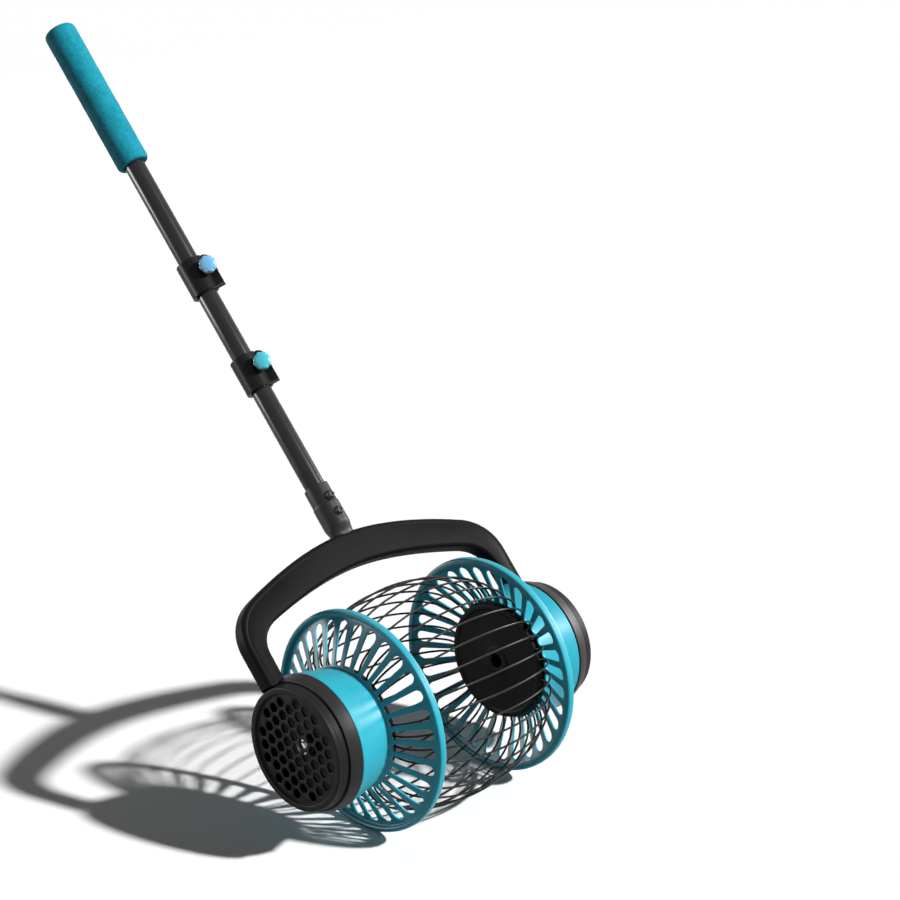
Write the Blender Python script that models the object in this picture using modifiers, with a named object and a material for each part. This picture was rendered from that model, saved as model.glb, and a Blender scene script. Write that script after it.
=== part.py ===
"""Tennis ball roller collector.

A cage of bowed wires rolls on two slotted wheels, and its wires let balls squeeze in.  The cage turns on two
axle bolts in the ends of a yoke, and a sectional pole with a foam grip pushes the yoke.

World frame: +X along the axle, the pole leans towards +Y, +Z up, the wheels stand on Z = 0.
Cage frame: origin on the axle's middle, X along the axle.
Yoke frame: the cage frame leaned back about X, so that Z runs up the pole and -Y is the yoke's front.
"""

import math

import bmesh
import bpy
from mathutils import Matrix

# Driving dimensions, in metres and degrees; what reaches out along the axle counts from the cage's ends
# Wheels
WHEEL_RADIUS = 0.1460
RIM_INSET = 0.0220
RIM_WIDTH = 0.0110
RIM_DEPTH = 0.0085
RIM_CHAMFER = 0.0028
WEB_FOOT_REACH = 0.0098
WEB_WALL = 0.0028
SLOT_COUNT = 32
SLOT_SHARE = 0.62
SLOT_MARGIN = 0.0045
COLLAR_INNER_RADIUS = 0.0785
COLLAR_OUTER_RADIUS = 0.0885
COLLAR_REACH = 0.0640
COLLAR_WALL = 0.0035
# Cage
WIRE_COUNT = 36
WIRE_TURN_DEG = 1.2
WIRE_RADIUS = 0.0014
WIRE_BOW_RADIUS = 0.1435
WIRE_FOOT_DEG = 84.0
CAGE_HALF_LENGTH = 0.1335
HUB_PLATE_RADIUS = 0.0775
HUB_PLATE_THICKNESS = 0.0050
HUB_SPIGOT_LENGTH = 0.0140
HUB_SPIGOT_WALL = 0.0060
HUB_BOSS_RADIUS = 0.0135
HUB_BOSS_INSET = 0.0075
# Axle bolts and bushes
AXLE_RADIUS = 0.0060
AXLE_LENGTH = 0.0550
AXLE_HEAD_RADIUS = 0.0110
AXLE_HEAD_HEIGHT = 0.0060
BUSH_WALL = 0.0030
BUSH_LENGTH = 0.0250
BUSH_FLANGE_RADIUS = 0.0125
BUSH_FLANGE_THICKNESS = 0.0015
# End housings and covers
HOUSING_INNER_RADIUS = 0.0895
HOUSING_OUTER_RADIUS = 0.0850
HOUSING_LENGTH = 0.0170
HOUSING_WALL = 0.0045
HOUSING_FLOOR = 0.0050
HOUSING_BOSS_RADIUS = 0.0150
COVER_SEAT_DEPTH = 0.0010
COVER_RADIUS = 0.0820
COVER_FACE_RADIUS = 0.0800
COVER_LENGTH = 0.0157
COVER_RIM_WIDTH = 0.0080
COVER_WALL = 0.0032
COVER_SPIGOT_DEPTH = 0.0060
GRILLE_RECESS = 0.0035
GRILLE_THICKNESS = 0.0030
GRILLE_PITCH = 0.0170
GRILLE_HOLE_FLATS = 0.0125
TAB_SIZE = 0.0070
TAB_ANGLE_DEG = 21.0
# Yoke: each edge of the arch rises along an arm, bends at the shoulder and climbs to the crown
LEAN_DEG = 43.0
YOKE_FRONT_OFFSET = 0.0070
YOKE_DEPTH = 0.0240
YOKE_EDGE_ROUNDING = 0.0055
OUTER_ARM_REACH = 0.0320
OUTER_ARM_TOP = 0.1340
OUTER_SHOULDER_INSET = 0.0445
OUTER_SHOULDER_Z = 0.1935
OUTER_SLOPE = 0.37
CROWN_TOP = 0.2320
ARM_WIDTH = 0.0280
INNER_ARM_TOP = 0.1180
INNER_SHOULDER_INSET = 0.0345
INNER_SHOULDER_Z = 0.1575
INNER_SLOPE = 0.29
CROWN_UNDERSIDE = 0.1860
# Pole, measured up the pole from the axle
POLE_RADIUS = 0.0140
POLE_WALL = 0.0012
POLE_FOOT = 0.2500
LOWER_SEAM = 0.4795
UPPER_SEAM = 0.6310
POLE_TOP = 1.0265
SPIGOT_LENGTH = 0.0450
SOCKET_WALL = 0.0042
SOCKET_TOP = 0.3045
SOCKET_STEP = 0.0270
BOLT_RADIUS = 0.0025
BOLT_HEAD_RADIUS = 0.0058
BOLT_HEAD_HEIGHT = 0.0035
BOLT_LENGTH = 0.0090
UPPER_BOLT = 0.2837
LOWER_BOLT = 0.2600
# Clamps
CLAMP_TURN_DEG = -43.0
CLAMP_LENGTH = 0.0500
CLAMP_WALL = 0.0052
LUG_REACH = 0.0285
LUG_THICKNESS = 0.0160
LUG_CORNER = 0.0100
CLAMP_SLIT = 0.0030
KNOB_REACH = 0.0215
KNOB_RAISE = 0.0030
KNOB_RADIUS = 0.0120
KNOB_BOSS_RADIUS = 0.0075
KNOB_HEIGHT = 0.0120
KNOB_LOBES = 8
KNOB_LOBE_DEPTH = 0.0008
KNOB_CHAMFER = 0.0012
STUD_RADIUS = 0.0029
STUD_TAIL = 0.0020
NUT_RADIUS = 0.0065
NUT_THICKNESS = 0.0050
# Grip
GRIP_RADIUS = 0.0225
GRIP_FOOT = 0.8140
GRIP_END_WALL = 0.0095
GRIP_ROUNDING = 0.0045
# Clearances between pieces
SEAT_GAP = 0.0003
RUNNING_GAP = 0.0010

# Facets
WHEEL_STEPS = 32
COVER_STEPS = 24
TUBE_STEPS = 16
AXLE_STEPS = 16
BOLT_STEPS = 10
LOBE_STEPS = 3
WIRE_SEGMENTS = 6
CURVE_RESOLUTION = 4

# Dependent places along the axle and the pole
LEAN = math.radians(LEAN_DEG)
RIM_RADIUS = WHEEL_RADIUS - RIM_DEPTH
RIM_INNER_X = CAGE_HALF_LENGTH - RIM_INSET
RIM_OUTER_X = RIM_INNER_X + RIM_WIDTH
WEB_FOOT_X = CAGE_HALF_LENGTH + WEB_FOOT_REACH
COLLAR_END_X = CAGE_HALF_LENGTH + COLLAR_REACH
COLLAR_BORE_RADIUS = COLLAR_INNER_RADIUS - COLLAR_WALL
HUB_FACE_X = CAGE_HALF_LENGTH - 0.5 * HUB_PLATE_THICKNESS
HUB_SHOULDER_X = CAGE_HALF_LENGTH + 0.5 * HUB_PLATE_THICKNESS
HUB_SPIGOT_X = HUB_SHOULDER_X + HUB_SPIGOT_LENGTH
WIRE_FOOT_RADIUS = HUB_PLATE_RADIUS + SEAT_GAP
AXLE_BORE_RADIUS = AXLE_RADIUS + SEAT_GAP
BUSH_RADIUS = AXLE_BORE_RADIUS + BUSH_WALL
HUB_BORE_RADIUS = BUSH_RADIUS + SEAT_GAP
HUB_BOSS_END_X = COLLAR_END_X - HUB_BOSS_INSET
BUSH_FLANGE_X = HUB_BOSS_END_X + SEAT_GAP
BUSH_END_X = BUSH_FLANGE_X + BUSH_FLANGE_THICKNESS
SPACER_X = BUSH_END_X + RUNNING_GAP
HOUSING_X = COLLAR_END_X + RUNNING_GAP
HOUSING_RIM_X = HOUSING_X + HOUSING_LENGTH
OUTER_ARM_X = HOUSING_X + OUTER_ARM_REACH
OUTER_SHOULDER_X = OUTER_ARM_X - OUTER_SHOULDER_INSET
INNER_ARM_X = OUTER_ARM_X - ARM_WIDTH
INNER_SHOULDER_X = INNER_ARM_X - INNER_SHOULDER_INSET
HOUSING_FLOOR_X = HOUSING_X + HOUSING_FLOOR
HOUSING_BORE_RADIUS = HOUSING_OUTER_RADIUS - HOUSING_WALL
COVER_SEAT_X = HOUSING_RIM_X - COVER_SEAT_DEPTH
COVER_X = COVER_SEAT_X + SEAT_GAP
COVER_FACE_X = COVER_X + COVER_LENGTH
AXLE_SEAT_X = COVER_SEAT_X - RUNNING_GAP
SOCKET_RADIUS = POLE_RADIUS + SOCKET_WALL
TUBE_BORE_RADIUS = POLE_RADIUS + SEAT_GAP
BOLT_SEAT_Y = SOCKET_RADIUS + RUNNING_GAP
CLAMP_RADIUS = TUBE_BORE_RADIUS + CLAMP_WALL
KNOB_BOSS_Y = math.sqrt(CLAMP_RADIUS**2 - (KNOB_REACH - KNOB_RADIUS) ** 2) + RUNNING_GAP
NUT_BOSS_Y = math.sqrt(CLAMP_RADIUS**2 - (KNOB_REACH - NUT_RADIUS) ** 2) + RUNNING_GAP
STUD_HOLE_RADIUS = STUD_RADIUS + SEAT_GAP
GRIP_TOP = POLE_TOP + GRIP_END_WALL


def axle_y():
    """Y of the axle that puts the origin midway between the farthest points of the wheels and the grip."""
    grip_reach = (GRIP_TOP - GRIP_ROUNDING) * math.sin(LEAN)
    grip_reach += (GRIP_RADIUS - GRIP_ROUNDING - YOKE_FRONT_OFFSET) * math.cos(LEAN)
    grip_reach += GRIP_ROUNDING
    return 0.5 * (WHEEL_RADIUS - grip_reach)


# The scene, its materials and its axes
def clear_scene():
    for old in list(bpy.data.objects):
        bpy.data.objects.remove(old, do_unlink=True)


def new_collection(name):
    collection = bpy.data.collections.new(name)
    bpy.context.scene.collection.children.link(collection)
    return collection


def material(name, colour, roughness, metallic=0.0):
    """A Principled material of one colour."""
    made = bpy.data.materials.new(name)
    made.use_nodes = True
    made.diffuse_color = (*colour, 1.0)
    shader = made.node_tree.nodes["Principled BSDF"]
    shader.inputs["Base Color"].default_value = (*colour, 1.0)
    shader.inputs["Roughness"].default_value = roughness
    shader.inputs["Metallic"].default_value = metallic
    return made


clear_scene()
PARTS = new_collection("tennis_ball_roller_collector")
CUTTERS = new_collection("cutters")
BLACK_PLASTIC = material("black_plastic", (0.022, 0.022, 0.023), 0.5)
BLUE_PLASTIC = material("blue_plastic", (0.010, 0.42, 0.58), 0.3)
KNOB_PLASTIC = material("knob_plastic", (0.09, 0.42, 0.72), 0.3)
POLE_PAINT = material("pole_paint", (0.020, 0.020, 0.021), 0.35)
WIRE_PAINT = material("wire_paint", (0.012, 0.012, 0.012), 0.35)
STEEL = material("steel", (0.55, 0.55, 0.56), 0.3, 1.0)
BLACK_STEEL = material("black_steel", (0.015, 0.015, 0.015), 0.4, 0.7)
BRONZE = material("bronze", (0.48, 0.32, 0.16), 0.4, 1.0)
GRIP_FOAM = material("grip_foam", (0.006, 0.28, 0.42), 0.9)


def axis_empty(name, location, rotation, parent=None):
    """An empty on the axis that its pieces are built about."""
    empty = bpy.data.objects.new(name, None)
    PARTS.objects.link(empty)
    return place(empty, parent, location, rotation)


def place(item, parent, location=(0.0, 0.0, 0.0), rotation=(0.0, 0.0, 0.0)):
    item.parent = parent
    item.location = location
    item.rotation_euler = rotation
    return item


CAGE = axis_empty("cage_axis", (0.0, axle_y(), WHEEL_RADIUS), (0.0, 0.0, 0.0))
YOKE = axis_empty("yoke_axis", (0.0, axle_y(), WHEEL_RADIUS), (-LEAN, 0.0, 0.0))
POLE = axis_empty("pole_axis", (0.0, -YOKE_FRONT_OFFSET, 0.0), (0.0, 0.0, 0.0), YOKE)
TO_FRONT = (0.5 * math.pi, 0.0, 0.0)


def outwards(side):
    """The turn that points a piece's Z outwards along the axle, on the side -1 (left) or +1 (right)."""
    return (0.0, side * 0.5 * math.pi, 0.0)


# Shapes
def new_item(name, mesh, collection):
    item = bpy.data.objects.new(name, mesh)
    collection.objects.link(item)
    return item


def turned(name, profile, collection, steps):
    """Revolve (radius, height) points about Z, which run down the outer side and end on the axis or close."""
    closed = profile[0][0] > 0.0
    edges = [(i, i + 1) for i in range(len(profile) - 1)]
    if closed:
        edges.append((len(profile) - 1, 0))
    mesh = bpy.data.meshes.new(name)
    mesh.from_pydata([(radius, 0.0, height) for radius, height in profile], edges, [])
    item = new_item(name, mesh, collection)
    screw = item.modifiers.new("turn", "SCREW")
    screw.axis = "Z"
    screw.steps = steps
    screw.render_steps = steps
    screw.use_merge_vertices = True
    screw.merge_threshold = 0.00001
    item.data = evaluated_mesh(item)
    item.modifiers.clear()
    if not closed:
        flatten_ends(item.data)
    return item


def flatten_ends(mesh):
    """Make each flat end one face, without a middle point on the axis."""
    made = bmesh.new()
    made.from_mesh(mesh)
    middles = [vertex for vertex in made.verts if math.hypot(vertex.co.x, vertex.co.y) < 0.00001]
    bmesh.ops.dissolve_verts(made, verts=middles)
    made.to_mesh(mesh)
    made.free()


def extruded(name, outlines, depth, collection):
    """Extrude closed outlines of (x, y) points, or of (point, handle, handle) knots, centred on Z = 0."""
    curve = bpy.data.curves.new(name, "CURVE")
    curve.dimensions = "2D"
    curve.fill_mode = "BOTH"
    curve.extrude = 0.5 * depth
    for outline in outlines:
        if len(outline[0]) == 3:
            add_knots(curve, outline)
        else:
            spline = curve.splines.new("POLY")
            spline.use_cyclic_u = True
            spline.points.add(len(outline) - 1)
            for knot, point in zip(spline.points, outline):
                knot.co = (*point, 0.0, 1.0)
    drawn = new_item(name + "_outline", curve, collection)
    mesh = evaluated_mesh(drawn)
    bpy.data.objects.remove(drawn, do_unlink=True)
    welded = bmesh.new()
    welded.from_mesh(mesh)
    bmesh.ops.remove_doubles(welded, verts=welded.verts, dist=0.00001)
    bmesh.ops.dissolve_limit(
        welded, angle_limit=math.radians(0.1), verts=welded.verts, edges=welded.edges
    )
    bmesh.ops.recalc_face_normals(welded, faces=welded.faces)
    welded.to_mesh(mesh)
    welded.free()
    return new_item(name, mesh, collection)


def add_knots(curve, outline):
    spline = curve.splines.new("BEZIER")
    spline.use_cyclic_u = True
    spline.resolution_u = CURVE_RESOLUTION
    spline.bezier_points.add(len(outline) - 1)
    for knot, (point, arriving, leaving) in zip(spline.bezier_points, outline):
        knot.handle_left_type = "FREE"
        knot.handle_right_type = "FREE"
        knot.co = (*point, 0.0)
        knot.handle_left = (*arriving, 0.0)
        knot.handle_right = (*leaving, 0.0)


def prisms(name, centres, radius, length, collection, sides, turn=0.0):
    """Round or many-sided bars along Z in one mesh, centred on the given places."""
    made = bmesh.new()
    for centre in centres:
        spot = Matrix.Translation(centre) @ Matrix.Rotation(turn, 4, "Z")
        bmesh.ops.create_cone(
            made, cap_ends=True, segments=sides, radius1=radius, radius2=radius, depth=length, matrix=spot
        )
    mesh = bpy.data.meshes.new(name)
    made.to_mesh(mesh)
    made.free()
    return new_item(name, mesh, collection)


def box(name, size, collection):
    made = bmesh.new()
    bmesh.ops.create_cube(made, size=1.0)
    bmesh.ops.scale(made, verts=made.verts, vec=size)
    mesh = bpy.data.meshes.new(name)
    made.to_mesh(mesh)
    made.free()
    return new_item(name, mesh, collection)


def evaluated_mesh(item):
    """The item's mesh with its modifiers applied."""
    bpy.context.view_layer.update()
    depsgraph = bpy.context.evaluated_depsgraph_get()
    return bpy.data.meshes.new_from_object(item.evaluated_get(depsgraph))


def combine(item, tool, operation):
    """Join a tool to the item, or cut it out; the tool stays as a hidden guide."""
    tool.hide_render = True
    tool.display_type = "WIRE"
    boolean = item.modifiers.new(tool.name, "BOOLEAN")
    boolean.operation = operation
    boolean.object = tool
    boolean.solver = "EXACT"


def bevel(item, width, segments, angle_deg):
    rounding = item.modifiers.new("rounding", "BEVEL")
    rounding.width = width
    rounding.segments = segments
    rounding.limit_method = "ANGLE"
    rounding.angle_limit = math.radians(angle_deg)


def finish(item, look):
    """Apply the item's modifiers, give it its material and smooth its round faces."""
    mesh = evaluated_mesh(item)
    item.modifiers.clear()
    item.data = mesh
    mesh.materials.clear()
    mesh.materials.append(look)
    mesh.shade_smooth()
    mesh.set_sharp_from_angle(angle=math.radians(35.0))
    return item


def copy_of(item, name):
    """Another object with the same mesh."""
    return new_item(name, item.data, PARTS)


def arc(centre, radius, start_deg, end_deg, count):
    """Points on an arc from one angle to another, both ends included."""
    points = []
    for i in range(count):
        angle = math.radians(start_deg + (end_deg - start_deg) * i / (count - 1))
        points.append((centre[0] + radius * math.cos(angle), centre[1] + radius * math.sin(angle)))
    return points


# Wheels: a rim bead, a cone of spokes and a collar in one moulding
def web_x(radius):
    """X of the web's outer face at a radius."""
    share = (radius - COLLAR_INNER_RADIUS) / (RIM_RADIUS - COLLAR_INNER_RADIUS)
    return WEB_FOOT_X + share * (RIM_INNER_X + 0.5 * RIM_WIDTH - WEB_FOOT_X)


def slot_outline(angle):
    """A slot of the web: it widens outwards and ends in a half circle."""
    spread = SLOT_SHARE * math.pi / SLOT_COUNT
    inner = COLLAR_INNER_RADIUS + SLOT_MARGIN
    centre = (RIM_RADIUS - SLOT_MARGIN) / (1.0 + spread)
    outline = [(inner, -inner * spread)]
    outline += arc((centre, 0.0), centre * spread, -90.0, 90.0, 4)
    outline.append((inner, inner * spread))
    cosine = math.cos(angle)
    sine = math.sin(angle)
    return [(x * cosine - y * sine, x * sine + y * cosine) for x, y in outline]


def make_wheels():
    profile = [
        (COLLAR_OUTER_RADIUS, COLLAR_END_X),
        (COLLAR_INNER_RADIUS, WEB_FOOT_X),
        (RIM_RADIUS, web_x(RIM_RADIUS)),
        (RIM_RADIUS + RIM_CHAMFER, RIM_OUTER_X),
        (WHEEL_RADIUS, RIM_OUTER_X - RIM_CHAMFER),
        (WHEEL_RADIUS, RIM_INNER_X + RIM_CHAMFER),
        (WHEEL_RADIUS - RIM_CHAMFER, RIM_INNER_X),
        (RIM_RADIUS, RIM_INNER_X),
        (RIM_RADIUS, web_x(RIM_RADIUS) - WEB_WALL),
        (COLLAR_BORE_RADIUS, web_x(COLLAR_BORE_RADIUS) - WEB_WALL),
        (COLLAR_BORE_RADIUS, HUB_SPIGOT_X + RUNNING_GAP),
        (COLLAR_OUTER_RADIUS - COLLAR_WALL, COLLAR_END_X),
    ]
    wheel = turned("left_wheel", profile, PARTS, WHEEL_STEPS)
    slots = [slot_outline(2.0 * math.pi * i / SLOT_COUNT) for i in range(SLOT_COUNT)]
    depth = WEB_FOOT_X - RIM_INNER_X
    cutter = extruded("wheel_slots", slots, depth, CUTTERS)
    cutter.location = (0.0, 0.0, RIM_INNER_X + 0.5 * depth)
    combine(wheel, cutter, "DIFFERENCE")
    finish(wheel, BLUE_PLASTIC)
    place(wheel, CAGE, rotation=outwards(-1))
    place(copy_of(wheel, "right_wheel"), CAGE, rotation=outwards(1))


# Cage: bowed wires between two hub plates
def make_wires():
    """Each wire is an elliptic bow with a short straight foot at each hub plate."""
    curve = bpy.data.curves.new("cage_wire", "CURVE")
    curve.dimensions = "3D"
    curve.bevel_depth = WIRE_RADIUS
    curve.bevel_resolution = 0
    curve.use_fill_caps = True
    curve.materials.append(WIRE_PAINT)
    foot_angle = math.radians(WIRE_FOOT_DEG)
    points = [(-CAGE_HALF_LENGTH, WIRE_FOOT_RADIUS)]
    for i in range(WIRE_SEGMENTS + 1):
        angle = foot_angle * (2.0 * i / WIRE_SEGMENTS - 1.0)
        bow = (WIRE_BOW_RADIUS - WIRE_FOOT_RADIUS) * math.cos(angle)
        points.append((CAGE_HALF_LENGTH * math.sin(angle) / math.sin(foot_angle), WIRE_FOOT_RADIUS + bow))
    points.append((CAGE_HALF_LENGTH, WIRE_FOOT_RADIUS))
    spline = curve.splines.new("POLY")
    spline.points.add(len(points) - 1)
    for knot, point in zip(spline.points, points):
        knot.co = (*point, 0.0, 1.0)
    for i in range(WIRE_COUNT):
        wire = new_item(f"cage_wire_{i + 1:02d}", curve, PARTS)
        turn = 2.0 * math.pi * i / WIRE_COUNT + math.radians(WIRE_TURN_DEG)
        place(wire, CAGE, rotation=(turn, 0.0, 0.0))


def make_hub_plates():
    spigot_radius = COLLAR_BORE_RADIUS - SEAT_GAP
    profile = [
        (spigot_radius, HUB_SPIGOT_X),
        (spigot_radius, HUB_SHOULDER_X),
        (HUB_PLATE_RADIUS, HUB_SHOULDER_X),
        (HUB_PLATE_RADIUS, HUB_FACE_X),
        (HUB_BORE_RADIUS, HUB_FACE_X),
        (HUB_BORE_RADIUS, HUB_BOSS_END_X),
        (HUB_BOSS_RADIUS, HUB_BOSS_END_X),
        (HUB_BOSS_RADIUS, HUB_SHOULDER_X),
        (spigot_radius - HUB_SPIGOT_WALL, HUB_SHOULDER_X),
        (spigot_radius - HUB_SPIGOT_WALL, HUB_SPIGOT_X),
    ]
    plate = finish(turned("left_hub_plate", profile, PARTS, WHEEL_STEPS), BLACK_PLASTIC)
    place(plate, CAGE, rotation=outwards(-1))
    place(copy_of(plate, "right_hub_plate"), CAGE, rotation=outwards(1))


def make_bushes():
    profile = [
        (BUSH_FLANGE_RADIUS, BUSH_END_X),
        (BUSH_FLANGE_RADIUS, BUSH_FLANGE_X),
        (BUSH_RADIUS, BUSH_FLANGE_X),
        (BUSH_RADIUS, BUSH_FLANGE_X - BUSH_LENGTH),
        (AXLE_BORE_RADIUS, BUSH_FLANGE_X - BUSH_LENGTH),
        (AXLE_BORE_RADIUS, BUSH_END_X),
    ]
    bush = finish(turned("left_bush", profile, PARTS, AXLE_STEPS), BRONZE)
    place(bush, CAGE, rotation=outwards(-1))
    place(copy_of(bush, "right_bush"), CAGE, rotation=outwards(1))


def make_axle_bolts():
    seat_x = AXLE_SEAT_X + SEAT_GAP
    profile = [
        (0.0, seat_x + AXLE_HEAD_HEIGHT),
        (0.85 * AXLE_HEAD_RADIUS, seat_x + AXLE_HEAD_HEIGHT),
        (AXLE_HEAD_RADIUS, seat_x + 0.7 * AXLE_HEAD_HEIGHT),
        (AXLE_HEAD_RADIUS, seat_x),
        (AXLE_RADIUS, seat_x),
        (AXLE_RADIUS, seat_x - AXLE_LENGTH),
        (0.0, seat_x - AXLE_LENGTH),
    ]
    bolt = finish(turned("left_axle_bolt", profile, PARTS, AXLE_STEPS), STEEL)
    place(bolt, YOKE, rotation=outwards(-1))
    place(copy_of(bolt, "right_axle_bolt"), YOKE, rotation=outwards(1))


# Yoke: a crowned arch with two arms, two end housings and the pole socket in one moulding
def arch_edge(arm_x, arm_top, shoulder_x, shoulder_z, slope):
    """The right half of an edge of the arch, from the arm's foot up to the shoulder."""
    foot_z = HOUSING_BORE_RADIUS - 2.0 * HOUSING_WALL
    rise = 0.57 * (arm_x - shoulder_x)
    run = 0.31 * shoulder_x
    return [
        ((arm_x, foot_z), (arm_x, foot_z), (arm_x, foot_z)),
        ((arm_x, arm_top), (arm_x, arm_top), (arm_x, 0.5 * (arm_top + shoulder_z))),
        (
            (shoulder_x, shoulder_z),
            (shoulder_x + rise, shoulder_z - rise * slope),
            (shoulder_x - run, shoulder_z + run * slope),
        ),
    ]


def mirrored(knots):
    """The knots' mirror image in X, in the same order."""
    flipped = []
    for knot in knots:
        flipped.append(tuple((-x, z) for x, z in knot))
    return flipped


def backwards(knots):
    """The same knots in the opposite order."""
    return [(point, leaving, arriving) for point, arriving, leaving in reversed(knots)]


def yoke_outline():
    outer = arch_edge(OUTER_ARM_X, OUTER_ARM_TOP, OUTER_SHOULDER_X, OUTER_SHOULDER_Z, OUTER_SLOPE)
    inner = arch_edge(INNER_ARM_X, INNER_ARM_TOP, INNER_SHOULDER_X, INNER_SHOULDER_Z, INNER_SLOPE)
    outer_reach = OUTER_SHOULDER_X / 3.0
    inner_reach = INNER_SHOULDER_X / 3.0
    crown = ((0.0, CROWN_TOP), (outer_reach, CROWN_TOP), (-outer_reach, CROWN_TOP))
    under = ((0.0, CROWN_UNDERSIDE), (-inner_reach, CROWN_UNDERSIDE), (inner_reach, CROWN_UNDERSIDE))
    top_edge = outer + [crown] + backwards(mirrored(outer))
    lower_edge = mirrored(inner) + [under] + backwards(inner)
    return top_edge + lower_edge


def end_housing(name):
    """The solid cone of an end housing, with the spacer that faces the bush."""
    profile = [
        (0.0, HOUSING_RIM_X),
        (HOUSING_OUTER_RADIUS, HOUSING_RIM_X),
        (HOUSING_INNER_RADIUS, HOUSING_X),
        (BUSH_FLANGE_RADIUS, HOUSING_X),
        (BUSH_FLANGE_RADIUS, SPACER_X),
        (0.0, SPACER_X),
    ]
    return turned(name, profile, CUTTERS, COVER_STEPS)


def housing_recess(name):
    """The cover's seat, the cavity round the boss and the axle bolt's bore, as a cutter."""
    clear_x = OUTER_ARM_X + HOUSING_LENGTH
    seat_radius = COVER_RADIUS + 2.0 * SEAT_GAP
    profile = [
        (0.0, clear_x),
        (seat_radius, clear_x),
        (seat_radius, COVER_SEAT_X),
        (HOUSING_BORE_RADIUS, COVER_SEAT_X),
        (HOUSING_BORE_RADIUS, HOUSING_FLOOR_X),
        (HOUSING_BOSS_RADIUS, HOUSING_FLOOR_X),
        (HOUSING_BOSS_RADIUS, AXLE_SEAT_X),
        (AXLE_BORE_RADIUS, AXLE_SEAT_X),
        (AXLE_BORE_RADIUS, SPACER_X - RUNNING_GAP),
        (0.0, SPACER_X - RUNNING_GAP),
    ]
    return turned(name, profile, CUTTERS, COVER_STEPS)


def socket_body():
    """The pole socket: a tube with a slightly slimmer top, whose foot thins to the arch's depth."""
    slimmer = SOCKET_RADIUS - RUNNING_GAP
    foot = CROWN_TOP - YOKE_DEPTH
    profile = [
        (0.0, SOCKET_TOP),
        (slimmer - SEAT_GAP, SOCKET_TOP),
        (slimmer, SOCKET_TOP - SOCKET_STEP),
        (SOCKET_RADIUS, SOCKET_TOP - SOCKET_STEP - 2.0 * RUNNING_GAP),
        (SOCKET_RADIUS, foot),
        (0.0, foot),
    ]
    socket = place(turned("socket_body", profile, CUTTERS, TUBE_STEPS), POLE)
    half_depth = 0.5 * YOKE_DEPTH - RUNNING_GAP
    shoulder = (SOCKET_RADIUS + RUNNING_GAP, CROWN_TOP + POLE_RADIUS)
    side_view = [(half_depth, foot - RUNNING_GAP), (half_depth, CROWN_TOP - RUNNING_GAP), shoulder]
    side_view.append((shoulder[0], SOCKET_TOP + RUNNING_GAP))
    side_view += [(-y, z) for y, z in reversed(side_view)]
    stock = extruded("socket_side_view", [side_view], 3.0 * SOCKET_RADIUS, CUTTERS)
    place(stock, POLE, rotation=(0.5 * math.pi, 0.0, 0.5 * math.pi))
    combine(socket, stock, "INTERSECT")
    return socket


def pole_bore():
    profile = [
        (0.0, LOWER_SEAM),
        (TUBE_BORE_RADIUS, LOWER_SEAM),
        (TUBE_BORE_RADIUS, POLE_FOOT - SEAT_GAP),
        (0.0, POLE_FOOT - SEAT_GAP),
    ]
    return place(turned("pole_bore", profile, CUTTERS, TUBE_STEPS), POLE)


def make_yoke(bolt_holes):
    yoke = extruded("yoke_frame", [yoke_outline()], YOKE_DEPTH, PARTS)
    place(yoke, POLE, rotation=TO_FRONT)
    bevel(yoke, YOKE_EDGE_ROUNDING, 2, 60.0)
    for side, label in ((-1, "left"), (1, "right")):
        combine(yoke, place(end_housing(label + "_housing"), YOKE, rotation=outwards(side)), "UNION")
    combine(yoke, socket_body(), "UNION")
    pad_y = 0.5 * BOLT_SEAT_Y
    pads = prisms(
        "bolt_pads",
        [(0.0, UPPER_BOLT, pad_y), (0.0, LOWER_BOLT, pad_y)],
        BOLT_HEAD_RADIUS + RUNNING_GAP,
        BOLT_SEAT_Y,
        CUTTERS,
        BOLT_STEPS,
    )
    combine(yoke, place(pads, POLE, rotation=TO_FRONT), "UNION")
    for side, label in ((-1, "left"), (1, "right")):
        combine(yoke, place(housing_recess(label + "_recess"), YOKE, rotation=outwards(side)), "DIFFERENCE")
    combine(yoke, pole_bore(), "DIFFERENCE")
    combine(yoke, bolt_holes, "DIFFERENCE")
    finish(yoke, BLACK_PLASTIC)


def make_socket_bolts():
    seat_y = BOLT_SEAT_Y + SEAT_GAP
    profile = [
        (0.0, seat_y + BOLT_HEAD_HEIGHT),
        (0.6 * BOLT_HEAD_RADIUS, seat_y + BOLT_HEAD_HEIGHT),
        (BOLT_HEAD_RADIUS, seat_y + 0.5 * BOLT_HEAD_HEIGHT),
        (BOLT_HEAD_RADIUS, seat_y),
        (BOLT_RADIUS, seat_y),
        (BOLT_RADIUS, seat_y - BOLT_LENGTH),
        (0.0, seat_y - BOLT_LENGTH),
    ]
    bolt = finish(turned("upper_socket_bolt", profile, PARTS, BOLT_STEPS), BLACK_STEEL)
    place(bolt, POLE, (0.0, 0.0, UPPER_BOLT), TO_FRONT)
    place(copy_of(bolt, "lower_socket_bolt"), POLE, (0.0, 0.0, LOWER_BOLT), TO_FRONT)


# Covers: a rim with a honeycomb grille and a finger tab
def grille_places(limit):
    """Centres of the honeycomb's whole holes, in rows half a pitch apart in turn."""
    row_step = GRILLE_PITCH * math.sqrt(3.0) / 2.0
    reach = int(limit / row_step) + 1
    places = []
    for row in range(-reach, reach + 1):
        for column in range(-reach - 1, reach + 2):
            x = row * row_step
            y = (column + 0.5 * (row % 2)) * GRILLE_PITCH
            if math.hypot(x, y) <= limit:
                places.append((x, y, 0.0))
    return places


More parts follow.
